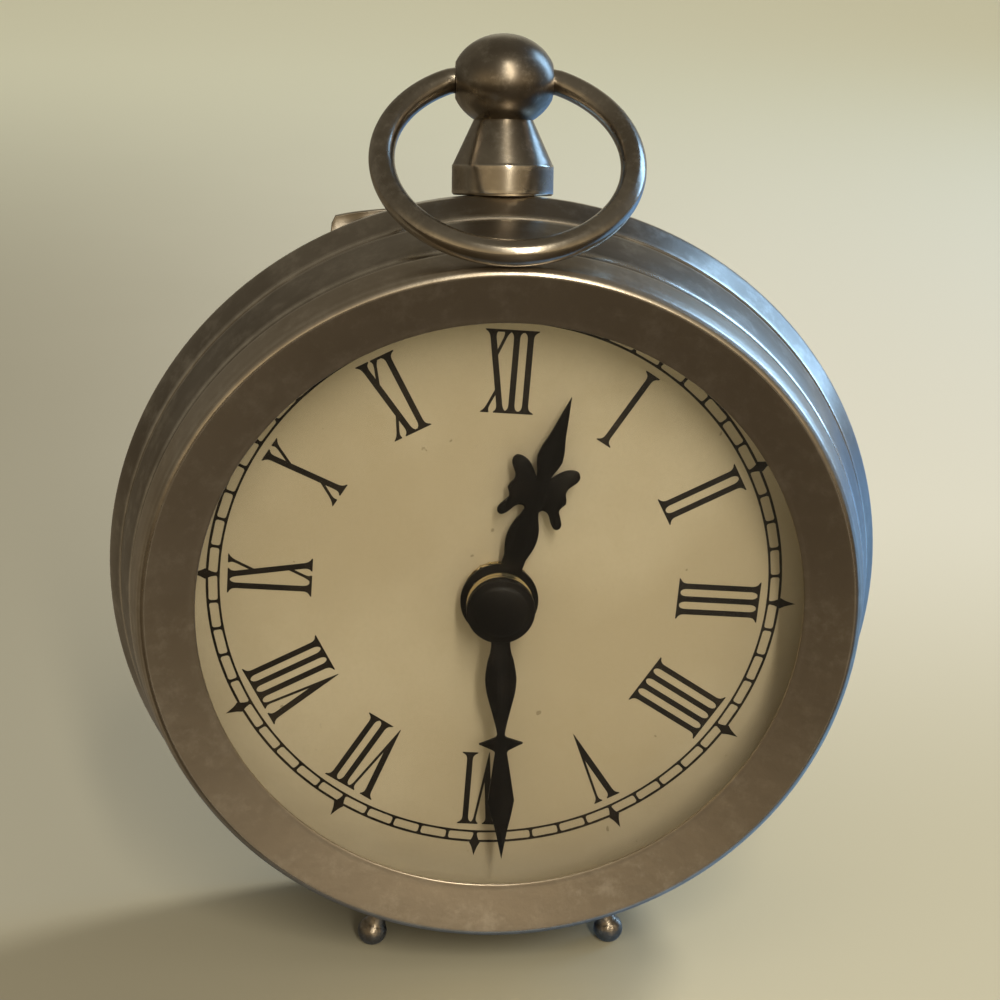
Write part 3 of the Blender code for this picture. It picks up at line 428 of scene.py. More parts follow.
# Turning marks: fine rings left by the lathe, at heights that follow the run along the profile.
# Shallow dents of long use lie over them.
turning, given, out = new_group(
    "turning marks",
    {
        "Run": (FLOAT, 0.0), "Place": (VECTOR, (0, 0, 0)), "Lines": (FLOAT, 3.0),
        "Dents": (FLOAT, 0.25), "Seed": (FLOAT, 0.0),
    },
    {"Height": FLOAT},
)
lathe = node(
    turning, "ShaderNodeTexNoise",
    {
        "W": sums(turning, "MULTIPLY", given["Run"], given["Lines"]), "Scale": 1.0,
        "Detail": 3.0, "Roughness": 0.8,
    },
    noise_dimensions="1D",
).outputs[0]
dents = noise(turning, given["Place"], 160.0, 4.0, given["Seed"], 0.6)
height = sums(turning, "ADD", lathe, sums(turning, "MULTIPLY", dents, given["Dents"]))
turning.links.new(height, out.inputs["Height"])

NICKEL_DARK = (0.235, 0.200, 0.158, 1)
NICKEL_MIDDLE = (0.40, 0.355, 0.295, 1)
NICKEL_BRIGHT = (0.80, 0.735, 0.63, 1)


def nickel(
    name, seed, dark=NICKEL_DARK, middle=NICKEL_MIDDLE, bright=NICKEL_BRIGHT, rubbing=0.4,
    rough=0.33, lines=6.0, relief=0.002, cloud=26.0, dents=35.0,
):
    """Aged nickel plate: the patina group over the lathe's marks."""
    made, tree, shader = new_material(name)
    place = node(tree, "ShaderNodeTexCoord").outputs["Object"]
    wear = node(tree, "ShaderNodeAttribute", attribute_name="wear").outputs["Fac"]
    chart = node(tree, "ShaderNodeUVMap", uv_map="turning").outputs[0]
    run = node(tree, "ShaderNodeSeparateXYZ", {0: chart}).outputs[1]
    skin = {
        "Place": place, "Wear": wear, "Seed": seed, "Dark": dark, "Middle": middle,
        "Bright": bright, "Cloud Scale": cloud, "Rubbing": rubbing, "Roughness": rough,
    }
    skin = node(tree, "ShaderNodeGroup", skin, node_tree=patina)
    marks = {"Run": run, "Place": place, "Lines": lines, "Dents": dents, "Seed": seed}
    marks = node(tree, "ShaderNodeGroup", marks, node_tree=turning).outputs["Height"]
    depth = relief * MM
    bump = node(tree, "ShaderNodeBump", {"Strength": 1.0, "Distance": depth, "Height": marks})
    feed(
        tree, shader, Metallic=1.0, Base_Color=skin.outputs["Color"],
        Roughness=skin.outputs["Roughness"], Normal=bump.outputs[0],
    )
    return made


DRUM_NICKEL = nickel("drum nickel", 1.0)
piece(
    "drum_shell", shaded(turned("drum_shell", DRUM_PROFILE)), DRUM_NICKEL, "case", "aged_nickel",
    "drum",
)


# Bezel: a spun ring pressed over the drum's neck. Its dished face runs from the glass out to a
# thin ridge, rubbed bright, and its side is a soft step that meets the drum.
# The side's back edge, given a wear of 1.0, is rubbed bright and also carries a painted highlight
# line.
BEZEL_PROFILE = [
    (53.3, 2.8, 0.1, 0.0), (53.35, 2.4, 0.15, 0.0), (54.2, 2.2, 0.25, 0.1),
    (61.35, 0.17, 0.35), (62.0, 0.0, 0.3),
    (62.55, 0.28, 0.25), (63.2, 1.1, 0.3), (63.85, 2.8, 0.6), (64.55, 5.2, 0.6),
    (64.85, 6.35, 0.1, 1.0), (63.55, 6.4), (62.3, 2.3), (61.6, 1.5), (54.0, 3.0, 0.1, 0.0),
]
BEZEL_NICKEL = nickel(
    "bezel nickel", 4.0, dark=(0.40, 0.338, 0.26, 1), middle=(0.50, 0.432, 0.345, 1), rubbing=0.45,
    rough=0.36, cloud=32.0, dents=45.0,
)
piece(
    "bezel_ring", shaded(turned("bezel_ring", BEZEL_PROFILE)), BEZEL_NICKEL, "case", "aged_nickel",
    "bezel",
)


# Glass: a flat disc of window glass with a ground edge, laid in the bezel from behind.
# A steel spring ring holds it there.
GLASS_PROFILE = [(0, 3.25), (59.5, 3.25, 0.25), (59.5, 4.8, 0.25), (0, 4.8)]

clear, tree, shader = new_material("clear glass")
feed(
    tree, shader, Base_Color=(0.97, 0.985, 0.975, 1), Roughness=0.02, Transmission_Weight=1.0,
    IOR=1.36,
)
path = node(tree, "ShaderNodeLightPath")
passing = sums(tree, "MAXIMUM", path.outputs["Is Shadow Ray"], path.outputs["Is Diffuse Ray"])
through = node(tree, "ShaderNodeBsdfTransparent", {"Color": (0.95, 0.96, 0.94, 1)})
both = node(tree, "ShaderNodeMixShader", {0: passing, 1: shader.outputs[0], 2: through.outputs[0]})
tree.links.new(both.outputs[0], tree.nodes["Material Output"].inputs["Surface"])
piece(
    "glass_disc", shaded(turned("glass_disc", GLASS_PROFILE, closed=False, steps=128)), clear,
    "case", "clear_glass", "glass",
)


def plain_metal(name, colour, rough, grain=1800.0, strength=0.15):
    """Plain rolled or turned metal with a fine grain."""
    made, tree, shader = new_material(name)
    place = node(tree, "ShaderNodeTexCoord").outputs["Object"]
    cloud = node(tree, "ShaderNodeTexNoise", {"Vector": place, "Scale": 90.0, "Detail": 4.0})
    cloud = cloud.outputs[0]
    fine = node(tree, "ShaderNodeTexNoise", {"Vector": place, "Scale": grain, "Detail": 2.0})
    relief = {"Strength": strength, "Distance": 0.00005, "Height": fine.outputs[0]}
    bump = node(tree, "ShaderNodeBump", relief)
    dull = (*(0.6 * part for part in colour), 1)
    feed(
        tree, shader, Metallic=1.0, Normal=bump.outputs[0],
        Base_Color=blend_colour(tree, spread(tree, cloud, 0.4, 0.75, 0.7, 0.0), (*colour, 1), dull),
        Roughness=spread(tree, cloud, 0.3, 0.7, rough - 0.05, rough + 0.08),
    )
    return made


def finish(material, *nodes):
    """Gives CAD nodes that keep their own shape this material."""
    for name in nodes:
        mesh = frame["nodes"][name].data
        mesh.materials.clear()
        mesh.materials.append(material)


STEEL = plain_metal("steel", (0.42, 0.40, 0.36), 0.36)
# The rings in the recess under the bezel are dark brown steel: this darkness is painted shade of that
# recess.
SHADED_RING_STEEL = plain_metal("ring steel", (0.20, 0.165, 0.11), 0.5)
finish(SHADED_RING_STEEL, "glass_ring", "spacer_ring", "dial_ring")


# Dial: a thin metal disc with printed paper on it, cream gone yellow and brown in soft clouds.
# The print is black: a track of sixty cells, twelve spades and the roman numerals. All of it is
# turned a little on the disc and stands a little off its middle.
DIAL_PROFILE = [(4.3, 14.4), (65.2, 14.4), (65.2, 15.2), (4.3, 15.2)]
CREAM, PALE_CREAM = (0.555, 0.46, 0.33, 1), (0.65, 0.555, 0.42, 1)
YELLOWED, FIBRE_BROWN, SPOT_BROWN = (
    (0.47, 0.375, 0.23, 1), (0.40, 0.32, 0.19, 1), (0.16, 0.11, 0.06, 1)
)
INK_BLACK, INK_FADED = (0.006, 0.004, 0.003, 1), (0.026, 0.018, 0.012, 1)
PRINT_TURN = 3.2
PRINT_ACROSS, PRINT_UP = -0.4, 1.0
PRINT_THICKNESS, PRINT_DEPTH, SPADE_LIFT = 0.03, 14.39, 0.01
TRACK_INNER, TRACK_OUTER = 49.5, 52.0
CELL_COUNT, CELL_HALF_TURN = 60, math.radians(3)
CELL_INNER, CELL_OUTER = 49.95, 51.55
CELL_BAR, CELL_CORNER, CORNER_STEPS = 0.55, 0.42, 4
# Half outline of a spade: half width and distance from the dial's middle.
SPADE = [
    (0.42, 49.6), (0.33, 50.3), (0.5, 51.0), (0.78, 51.6), (1.02, 52.1), (0.8, 52.5),
    (0.55, 53.0), (0.3, 53.8), (0.0, 54.9),
]
# Numerals: the feet and heads are distances from the dial's middle, and the rest are widths. The
# serif's swell gives what share of it a stroke is wider by at a distance from its end.
NUMERAL_FOOT, NUMERAL_HEAD = 33.1, 48.15
BAR_HALF, HAIR_HALF, SERIF, LINE = 0.54, 0.23, 0.95, 0.45
ARM_HALF = HAIR_HALF + 0.06
# How far from its foot a V's strokes part, and how far from its heads and its feet the two thin
# arms of an X leave its thick stroke.
FORK_RISE, UPPER_ARM, LOWER_ARM = 5.2, 4.9, 4.4
SERIF_SWELL = [(0.0, 1.0), (0.22, 0.93), (0.45, 0.5), (0.75, 0.2), (1.1, 0.06), (1.5, 0.0)]

paper, tree, shader = new_material("aged dial")
place = node(tree, "ShaderNodeTexCoord").outputs["Object"]
broad = noise(tree, place, 22.0, 3.0, 2.0)
small = noise(tree, place, 75.0, 5.0, 7.0, 0.6)
fibre = noise(tree, place, 1500.0, 3.0, 1.0, 0.6)
spots = noise(tree, place, 420.0, 2.0, 5.0, 0.5)
colour = blend_colour(tree, spread(tree, broad, 0.36, 0.66), CREAM, PALE_CREAM)
colour = blend_colour(tree, spread(tree, small, 0.5, 0.8, 0.0, 0.3), colour, YELLOWED)
colour = blend_colour(tree, spread(tree, fibre, 0.3, 0.8, 0.0, 0.14), colour, FIBRE_BROWN)
colour = blend_colour(tree, spread(tree, spots, 0.735, 0.76, 0.0, 0.5), colour, SPOT_BROWN)
bump = node(tree, "ShaderNodeBump", {"Strength": 0.1, "Distance": 0.00005, "Height": fibre})
feed(tree, shader, Base_Color=colour, Roughness=0.62, Normal=bump.outputs[0])
piece("dial_disc", shaded(turned("dial_disc", DIAL_PROFILE)), paper, "case", "printed_dial", "dial")

ink, tree, shader = new_material("dial ink")
place = node(tree, "ShaderNodeTexCoord").outputs["Object"]
fade = noise(tree, place, 60.0, 3.0, 3.0)
colour = blend_colour(tree, spread(tree, fade, 0.35, 0.75), INK_BLACK, INK_FADED)
feed(tree, shader, Roughness=0.5, Base_Color=colour, Specular_IOR_Level=0.3)


@contextlib.contextmanager
def opened(mesh):
    """A mesh opened for editing, with its faces turned outwards before it is closed again."""
    shape = bmesh.new()
    shape.from_mesh(mesh)
    yield shape
    bmesh.ops.recalc_face_normals(shape, faces=shape.faces)
    shape.to_mesh(mesh)
    shape.free()


def printed(shapes, holes=()):
    """A thin closed slab in the shape of flat outlines joined together, less the holes."""
    points, loops = [], []
    for outline in (*shapes, *holes):
        area = sum(a[0] * b[1] - a[1] * b[0] for a, b in zip(outline, outline[1:] + outline[:1]))
        loops.append(list(range(len(points), len(points) + len(outline))))
        points += [Vector(point) for point in (outline if area > 0 else outline[::-1])]
    corners, _, triangles, _, _, sources = delaunay_2d_cdt(points, [], loops, 1, 1e-5)
    kept = []
    for triangle, source in zip(triangles, sources):
        inked = any(i < len(shapes) for i in source)
        if inked and not any(i >= len(shapes) for i in source):
            kept.append(tuple(triangle))
    sides = {}
    for triangle in kept:
        for a, b in zip(triangle, triangle[1:] + triangle[:1]):
            if (b, a) in sides:
                del sides[(b, a)]
            else:
                sides[(a, b)] = True
    count = len(corners)
    vertices = [(c.x, c.y, height) for height in (PRINT_THICKNESS, 0.0) for c in corners]
    faces = kept + [tuple(i + count for i in reversed(triangle)) for triangle in kept]
    faces += [(b, a, a + count, b + count) for a, b in sides]
    mesh = bpy.data.meshes.new("print")
    mesh.from_pydata(vertices, [], faces)
    with opened(mesh) as shape:
        loose = [vertex for vertex in shape.verts if not vertex.link_faces]
        bmesh.ops.delete(shape, geom=loose, context="VERTS")
    return mesh


def arc(radius, start, end, steps):
    """Points on a circle about the dial's middle, at angles from the top in radians."""
    turns = [start + (end - start) * step / steps for step in range(steps + 1)]
    return [(radius * math.sin(turn), radius * math.cos(turn)) for turn in turns]


def cell_outline():
    """One cell of the minute track, with round corners, centred on the top."""
    half = CELL_HALF_TURN - CELL_BAR / 2 / CELL_OUTER
    outline = []
    for radius, side, start in (
        (CELL_OUTER, 1, 0), (CELL_INNER, 1, 1), (CELL_INNER, -1, 2), (CELL_OUTER, -1, 3)
    ):
        middle = radius + (CELL_CORNER if radius == CELL_INNER else -CELL_CORNER)
        centre = side * (half - CELL_CORNER / radius)
        for step in range(CORNER_STEPS + 1):
            turn = math.radians(90 * start + 90 / CORNER_STEPS * step)
            across = math.sin(turn) * CELL_CORNER / radius
            outline.append((middle + math.cos(turn) * CELL_CORNER, centre + across))
    return [(radius * math.sin(turn), radius * math.cos(turn)) for radius, turn in outline]


def settled(holder, *others):
    """The holder's mesh with its modifiers applied. It and the others are removed."""
    bpy.context.view_layer.update()
    graph = bpy.context.evaluated_depsgraph_get()
    mesh = bpy.data.meshes.new_from_object(holder.evaluated_get(graph))
    for made in (holder, *others):
        bpy.data.objects.remove(made)
    return mesh


def repeated(name, item, count, material):
    """The item's mesh set round the dial's middle a number of times by geometry nodes, as one
    plain mesh, less the walls where two neighbours meet."""
    source = bpy.data.objects.new(name + "_one", item)
    carrier = bpy.data.objects.new(name, bpy.data.meshes.new(name))
    for made in (source, carrier):
        bpy.context.scene.collection.objects.link(made)
    group = bpy.data.node_groups.new(name + " round the dial", "GeometryNodeTree")
    for label, kind in (
        ("Item", "NodeSocketObject"), ("Count", "NodeSocketInt"), ("Material", "NodeSocketMaterial")
    ):
        group.interface.new_socket(label, in_out="INPUT", socket_type=kind)
    group.interface.new_socket("Geometry", in_out="OUTPUT", socket_type="NodeSocketGeometry")
    wanted = group.nodes.new("NodeGroupInput").outputs
    spots = node(group, "GeometryNodePoints", {"Count": wanted["Count"]}).outputs[0]
    one = node(group, "GeometryNodeObjectInfo", {"Object": wanted["Item"]}).outputs["Geometry"]
    index = node(group, "GeometryNodeInputIndex").outputs[0]
    share = sums(group, "DIVIDE", index, wanted["Count"])
    turn = sums(group, "MULTIPLY", share, -2 * math.pi)
    rotation = node(group, "ShaderNodeCombineXYZ", {"Z": turn}).outputs[0]
    ring = node(
        group, "GeometryNodeInstanceOnPoints",
        {"Points": spots, "Instance": one, "Rotation": rotation},
    ).outputs[0]
    real = node(group, "GeometryNodeRealizeInstances", {"Geometry": ring}).outputs[0]
    dressed = node(
        group, "GeometryNodeSetMaterial", {"Geometry": real, "Material": wanted["Material"]}
    ).outputs[0]
    group.links.new(dressed, group.nodes.new("NodeGroupOutput").inputs[0])
    modifier = carrier.modifiers.new("round", "NODES")
    modifier.node_group = group
    sockets = {entry.name: entry.identifier for entry in group.interface.items_tree}
    modifier[sockets["Item"]] = source
    modifier[sockets["Count"]] = count
    modifier[sockets["Material"]] = material
    mesh = settled(carrier, source)
    shape = bmesh.new()
    shape.from_mesh(mesh)
    bmesh.ops.remove_doubles(shape, verts=shape.verts, dist=1e-4)
    inner = [face for face in shape.faces if all(len(edge.link_faces) > 2 for edge in face.edges)]
    bmesh.ops.delete(shape, geom=inner, context="FACES")
    shape.to_mesh(mesh)
    shape.free()
    return mesh


def stroke(foot, head, half, foot_serif=SERIF, head_serif=SERIF, ends=(None, None)):
    """A stroke from its foot, near the dial's middle, to its head, at places across the numeral.
    A serif is how far it stands out on each side; ends are other distances from the middle."""
    low = NUMERAL_FOOT if ends[0] is None else ends[0]
    high = NUMERAL_HEAD if ends[1] is None else ends[1]
    widths = [(low + rise, half + foot_serif * share) for rise, share in SERIF_SWELL]
    widths += [(high - rise, half + head_serif * share) for rise, share in reversed(SERIF_SWELL)]
    middles = [foot + (head - foot) * (rise - low) / (high - low) for rise, _ in widths]
    left = [(middle - width, rise) for middle, (rise, width) in zip(middles, widths)]
    right = [(middle + width, rise) for middle, (rise, width) in zip(middles, widths)]
    return left + right[::-1]


def line(rise, start, end):
    """The thin line that joins strokes at their heads or their feet."""
    inner = rise - LINE if rise == NUMERAL_HEAD else rise + LINE
    return [(start, rise), (end, rise), (end, inner), (start, inner)]


def ones(*places, head_from=None, foot_from=None):
    """Thick bars, joined by a line at their heads and one at their feet."""
    strokes = [stroke(place, place, BAR_HALF) for place in places]
    for rise, start in ((NUMERAL_HEAD, head_from), (NUMERAL_FOOT, foot_from)):
        start = places[0] if start is None else start
        if start != places[-1]:
            strokes.append(line(rise, start, places[-1]))
    return strokes


def five(thick, thin, tip):
    """A V from the places of its two heads and of its pointed foot."""
    top, foot = NUMERAL_HEAD, NUMERAL_FOOT - 0.1
    fork = foot + FORK_RISE
    strokes = []
    for head, half, serif, inner in ((thick, BAR_HALF + 0.06, 0.7, 1), (thin, HAIR_HALF, 0.6, -1)):
        slope = (head - tip - inner * half * 0.8) / (top - foot)
        middles = [(head - slope * rise, rise, half + serif * share) for rise, share in SERIF_SWELL]
        outline = [(middle - width, top - rise) for middle, rise, width in middles]
        outline += [(tip - 0.06, foot), (tip + 0.06, foot)]
        side = head - slope * (top - fork)
        if inner > 0:
            outline.append((side + half, fork))
        outline += [(middle + width, top - rise) for middle, rise, width in reversed(middles)]
        if inner < 0:
            outline.insert(len(SERIF_SWELL), (side - half, fork))
        strokes.append(outline)
    return strokes


def ten(thick_head, thick_foot, thin_head, thin_foot, serifs=(0.7, 0.7, 0.55, 0.45)):
    """An X: a thick stroke, with a thin arm that leaves it above and another below."""
    run = NUMERAL_HEAD - NUMERAL_FOOT
    upper, lower = NUMERAL_HEAD - UPPER_ARM, NUMERAL_FOOT + LOWER_ARM
    at_upper = thick_foot + (thick_head - thick_foot) * (upper - NUMERAL_FOOT) / run
    at_lower = thick_foot + (thick_head - thick_foot) * (lower - NUMERAL_FOOT) / run
    return [
        stroke(thick_foot, thick_head, BAR_HALF, serifs[1], serifs[0]),
        stroke(at_upper + 0.1, thin_head, ARM_HALF, 0, serifs[2], (upper, None)),
        stroke(thin_foot, at_lower - 0.1, ARM_HALF, serifs[3], 0, (None, lower)),
    ]


# Each numeral's strokes, at places across it in millimetres from its middle line.
NUMERALS = {
    1: ones(0.1), 2: ones(-1.05, 1.45), 3: ones(-2.4, 0.1, 2.6), 4: ones(-3.87, -1.45, 0.95, 3.35),
    5: five(-1.6, 1.5, -0.24), 6: five(-2.4, 0.55, -1.4) + ones(2.15, head_from=0.55),
    7: five(-3.4, 0.0, -1.25) + ones(1.75, 4.1, head_from=0.0),
    8: five(-4.7, -1.6, -2.25) + ones(0.34, 2.7, 5.05, head_from=-1.6),
    9: ones(-1.97) + ten(0.07, 2.7, 3.25, -0.17) + [
        line(NUMERAL_HEAD, -1.97, 0.07), line(NUMERAL_FOOT, -1.97, -0.17)
    ],
    10: ten(-1.3, 0.7, 1.6, -2.2),
    11: ten(-2.85, -0.5, -0.4, -3.2) + ones(1.75, head_from=-0.4, foot_from=-0.5),
    12: ten(-4.4, -2.0, -1.55, -4.8) + ones(-0.1, 2.3, head_from=-4.4, foot_from=-2.0),
}

onto_dial = CLOCK @ Matrix.Translation((PRINT_ACROSS, PRINT_UP, -PRINT_DEPTH)) @ (
    Matrix.Rotation(-math.radians(PRINT_TURN), 4, "Z")
)
band = arc(TRACK_OUTER, -CELL_HALF_TURN, CELL_HALF_TURN, 6)
band += arc(TRACK_INNER, CELL_HALF_TURN, -CELL_HALF_TURN, 6)
track = repeated("minute_track", printed([band], [cell_outline()]), CELL_COUNT, ink)
track.transform(Matrix.Rotation(CELL_HALF_TURN, 4, "Z"))
piece("minute_track", track, ink, "case", "printed_dial", place=onto_dial)
spade = SPADE + [(-side, radius) for side, radius in reversed(SPADE[:-1])]
piece(
    "hour_spades", repeated("hour_spades", printed([spade]), 12, ink), ink, "case",
    "printed_dial", place=onto_dial @ Matrix.Translation((0, 0, SPADE_LIFT)),
)
for hour, strokes in NUMERALS.items():
    turn = Matrix.Rotation(-math.radians(30 * hour), 4, "Z")
    piece(
        f"numeral_{hour}", printed(strokes), ink, "case", "printed_dial", place=onto_dial @ turn
    )


# Hands: stamped from sheet steel and lacquered black. The hour hand sits on the pipe, the minute
# hand on the arbor in front of it, a brass collar between them and a black domed cap nut on top.
HAND_THICKNESS, HAND_BEVEL, HUB_STEPS, BORE_STEPS = 0.6, 0.1, 48, 32
# The depth of each hand's front, its turn clockwise from twelve, its hub's radius and its bore's.
MINUTE_FRONT, MINUTE_TURN, MINUTE_HUB, MINUTE_BORE = 6.8, 178.5, 6.1, 1.55
HOUR_FRONT, HOUR_TURN, HOUR_HUB, HOUR_BORE = 10.9, 17.0, 7.0, 2.6
# Half outlines: distance along the hand and half width; True marks a corner.
MINUTE_HALF = [
    (7.1, 1.7, True), (8.6, 1.95), (10.0, 2.35), (12.5, 2.75), (14.1, 2.8), (16.5, 2.5),
    (20.0, 1.65), (23.0, 0.95), (24.6, 0.7, True), (25.2, 1.0), (25.7, 2.2), (26.4, 4.0, True),
    (27.2, 2.4), (27.8, 1.35), (28.3, 1.1, True), (33.0, 1.75), (38.0, 2.4, True), (41.0, 1.85),
    (44.6, 1.05), (50.3, 0.0, True),
]
HOUR_HALF = [
    (8.7, 2.0, True), (11.0, 2.6), (13.0, 2.75), (15.0, 2.4), (17.0, 1.6), (18.1, 1.3, True),
    (18.6, 1.9), (18.2, 3.0), (16.7, 4.0), (15.9, 4.9), (16.1, 5.7), (17.0, 5.9), (18.2, 5.3),
    (19.3, 4.7), (20.1, 4.9), (20.9, 5.4, True), (21.8, 5.2), (22.7, 4.8), (23.7, 4.9),
    (24.6, 5.5), (25.5, 6.1), (26.4, 6.2), (27.1, 5.7), (27.2, 4.7), (26.7, 3.4), (25.6, 2.2),
    (24.3, 1.2, True), (25.6, 1.55), (26.8, 2.0), (28.1, 2.3, True), (30.0, 2.05), (32.5, 1.4),
    (36.0, 0.75), (39.8, 0.0, True),
]
CAP_PROFILE = [
    (0, 5.1), (1.9, 5.17, 0.8), (3.4, 5.4, 0.6), (4.4, 5.62, 0.4), (4.85, 5.86, 0.2),
    (6.1, 5.96, 0.2), (6.1, 6.5), (1.6, 6.5), (1.6, 5.75), (0, 5.75),
]
COLLAR_PROFILE = [
    (1.55, 7.7), (5.2, 7.7), (5.75, 7.95, 0.3), (6.0, 8.5, 0.3), (5.8, 8.95, 0.2), (6.0, 9.4, 0.2),
    (6.0, 10.15, 0.2), (5.6, 10.4), (1.55, 10.4),
]
LACQUER_BLACK, LACQUER_WORN = (0.002, 0.0015, 0.0012, 1), (0.008, 0.0055, 0.004, 1)

lacquer, tree, shader = new_material("black lacquer")
place = node(tree, "ShaderNodeTexCoord").outputs["Object"]
cloud = noise(tree, place, 140.0, 4.0, 1.0, 0.6)
peel = noise(tree, place, 1400.0, 2.0, 2.0)
bump = node(tree, "ShaderNodeBump", {"Strength": 0.12, "Distance": 0.0001, "Height": peel})
feed(
    tree, shader, Normal=bump.outputs[0], Specular_IOR_Level=0.15,
    Base_Color=blend_colour(tree, spread(tree, cloud, 0.4, 0.75), LACQUER_BLACK, LACQUER_WORN),
    Roughness=spread(tree, cloud, 0.3, 0.7, 0.36, 0.5),
)


def splined(half, steps=4):
    """The half outline with smooth curves between its corners."""
    points = [Vector(point[:2]) for point in half]
    corner = [len(point) > 2 for point in half]
    smooth = [points[0]]
    for i in range(len(points) - 1):
        a, b = points[i], points[i + 1]
        before = a - (b - a) if corner[i] or i == 0 else points[i - 1]
        after = b + (b - a) if corner[i + 1] or i + 2 >= len(points) else points[i + 2]
        for step in range(1, steps + 1):
            t = step / steps
            spot = 0.5 * (
                2 * a + (b - before) * t + (2 * before - 5 * a + 4 * b - after) * t**2
                + (3 * a - before - 3 * b + after) * t**3
            )
            smooth.append(spot)
    return smooth


def stamped(name, half, hub, bore, degrees):
    """A hand cut from sheet, lying on z = 0, in the clock's frame."""
    line = splined(half)
    width = line[0].y
    start = math.asin(width / hub)
    turns = [
        start + (2 * math.pi - 2 * start) * step / HUB_STEPS for step in range(HUB_STEPS + 1)
    ]
    outline = [(point.x, point.y) for point in line]
    outline += [(point.x, -point.y) for point in reversed(line[:-1])]
    outline += [(hub * math.cos(turn), -hub * math.sin(turn)) for turn in turns]
    curve = bpy.data.curves.new(name, "CURVE")
    curve.dimensions = "2D"
    curve.fill_mode = "BOTH"
    curve.extrude = HAND_THICKNESS / 2
    turns = [2 * math.pi * step / BORE_STEPS for step in range(BORE_STEPS)]
    hole = [(bore * math.cos(turn), bore * math.sin(turn)) for turn in turns]
    for points in (outline, hole):
        spline = curve.splines.new("POLY")
        spline.points.add(len(points) - 1)
        for point, (x, y) in zip(spline.points, points):
            point.co = (x, y, 0, 1)
        spline.use_cyclic_u = True
    holder = bpy.data.objects.new(name, curve)
    mesh = bpy.data.meshes.new_from_object(holder)
    bpy.data.objects.remove(holder)
    with opened(mesh) as shape:
        bmesh.ops.remove_doubles(shape, verts=shape.verts, dist=1e-3)
    mesh.transform(Matrix.Rotation(math.radians(90 - degrees), 4, "Z"))
    return mesh


def bevelled(name, mesh, width, segments=2):
    """The mesh with its sharp edges rounded."""
    holder = bpy.data.objects.new(name, mesh)
    bpy.context.scene.collection.objects.link(holder)
    modifier = holder.modifiers.new("bevel", "BEVEL")
    modifier.width, modifier.segments = width, segments
    modifier.limit_method, modifier.angle_limit = "ANGLE", math.radians(50)
    return settled(holder)


for body, half, hub, bore, front, degrees in (
    ("minute", MINUTE_HALF, MINUTE_HUB, MINUTE_BORE, MINUTE_FRONT, MINUTE_TURN),
    ("hour", HOUR_HALF, HOUR_HUB, HOUR_BORE, HOUR_FRONT, HOUR_TURN),
):
    name = f"{body}_leaf"
    leaf = bevelled(name, stamped(name, half, hub, bore, degrees), HAND_BEVEL)
    piece(
        name, shaded(leaf, 30), lacquer, body, "black_lacquer", f"{body}_hand",
        place=CLOCK @ Matrix.Translation((0, 0, -front - HAND_THICKNESS / 2)),
    )
piece(
    "cap_nut", shaded(turned("cap_nut", CAP_PROFILE, closed=False, steps=96)), lacquer, "minute",
    "black_lacquer", "hand_cap",
)
BRASS = plain_metal("brass", (0.80, 0.67, 0.42), 0.2, strength=0.08)
piece(
    "brass_collar", shaded(turned("brass_collar", COLLAR_PROFILE, steps=96)), BRASS, "minute",
    "brass", "hand_collar",
)
finish(BRASS, "bush", "bush_nut", "bush_washer")


# Finial: turned from bar in one piece, a base, a cone and a ball with two flats bored for the bow.
# A stud below it goes through the case and holds it with a washer and nut. It stands square to the
# drum's rear band, at a depth and a distance from the clock's axis.
FINIAL_DEPTH, FINIAL_RADIUS = 30.3, 69.3137
BAND_FRONT, BAND_BACK = (70.5, 23.9), (67.85, 38.2)
BAND_SLOPE = math.atan2(BAND_FRONT[0] - BAND_BACK[0], BAND_BACK[1] - BAND_FRONT[1])
FINIAL = CLOCK @ Matrix.Translation((0, FINIAL_RADIUS, -FINIAL_DEPTH)) @ (
    Matrix.Rotation(-math.pi / 2 - BAND_SLOPE, 4, "X")
)
BALL_CENTRE, BALL_RADIUS, BALL_HALF_HEIGHT, BALL_WAIST, BALL_FLAT = 19.6, 9.2, 8.1, 5.2, 8.45
BOW_BORE, BORE_END, CUTTER_END = 2.45, 5.5, 12.0
BALL_STEPS = 28
# What a Boolean leaves behind: points that lie together, edges without length, and open slits.
MERGE_REACH, LEAST_EDGE, SLIT_SIDES = 2e-3, 1e-3, 6
waist = math.acos(BALL_WAIST / BALL_RADIUS)
ball_turns = [-waist + (math.pi / 2 + waist) * step / BALL_STEPS for step in range(BALL_STEPS)]
# Heights are negative depths here, because the finial's own z points up.
FINIAL_PROFILE = [
    (0, 6.0), (2.0, 6.0), (2.0, 0.15), (8.6, 0.15, 0.1), (8.95, -0.2, 0.12),
    (8.95, -5.0, 0.14), (8.72, -5.35, 0.16),
] + [
    (BALL_RADIUS * math.cos(turn), -BALL_CENTRE - BALL_HALF_HEIGHT * math.sin(turn), 0)
    for turn in ball_turns
] + [(0, -BALL_CENTRE - BALL_HALF_HEIGHT)]
FINIAL_NICKEL = nickel(
    "finial nickel", 9.0, dark=(0.205, 0.175, 0.138, 1), middle=(0.40, 0.355, 0.29, 1),
    rubbing=0.35, rough=0.28, lines=6.0, relief=0.0006, cloud=60.0, dents=70.0,
)


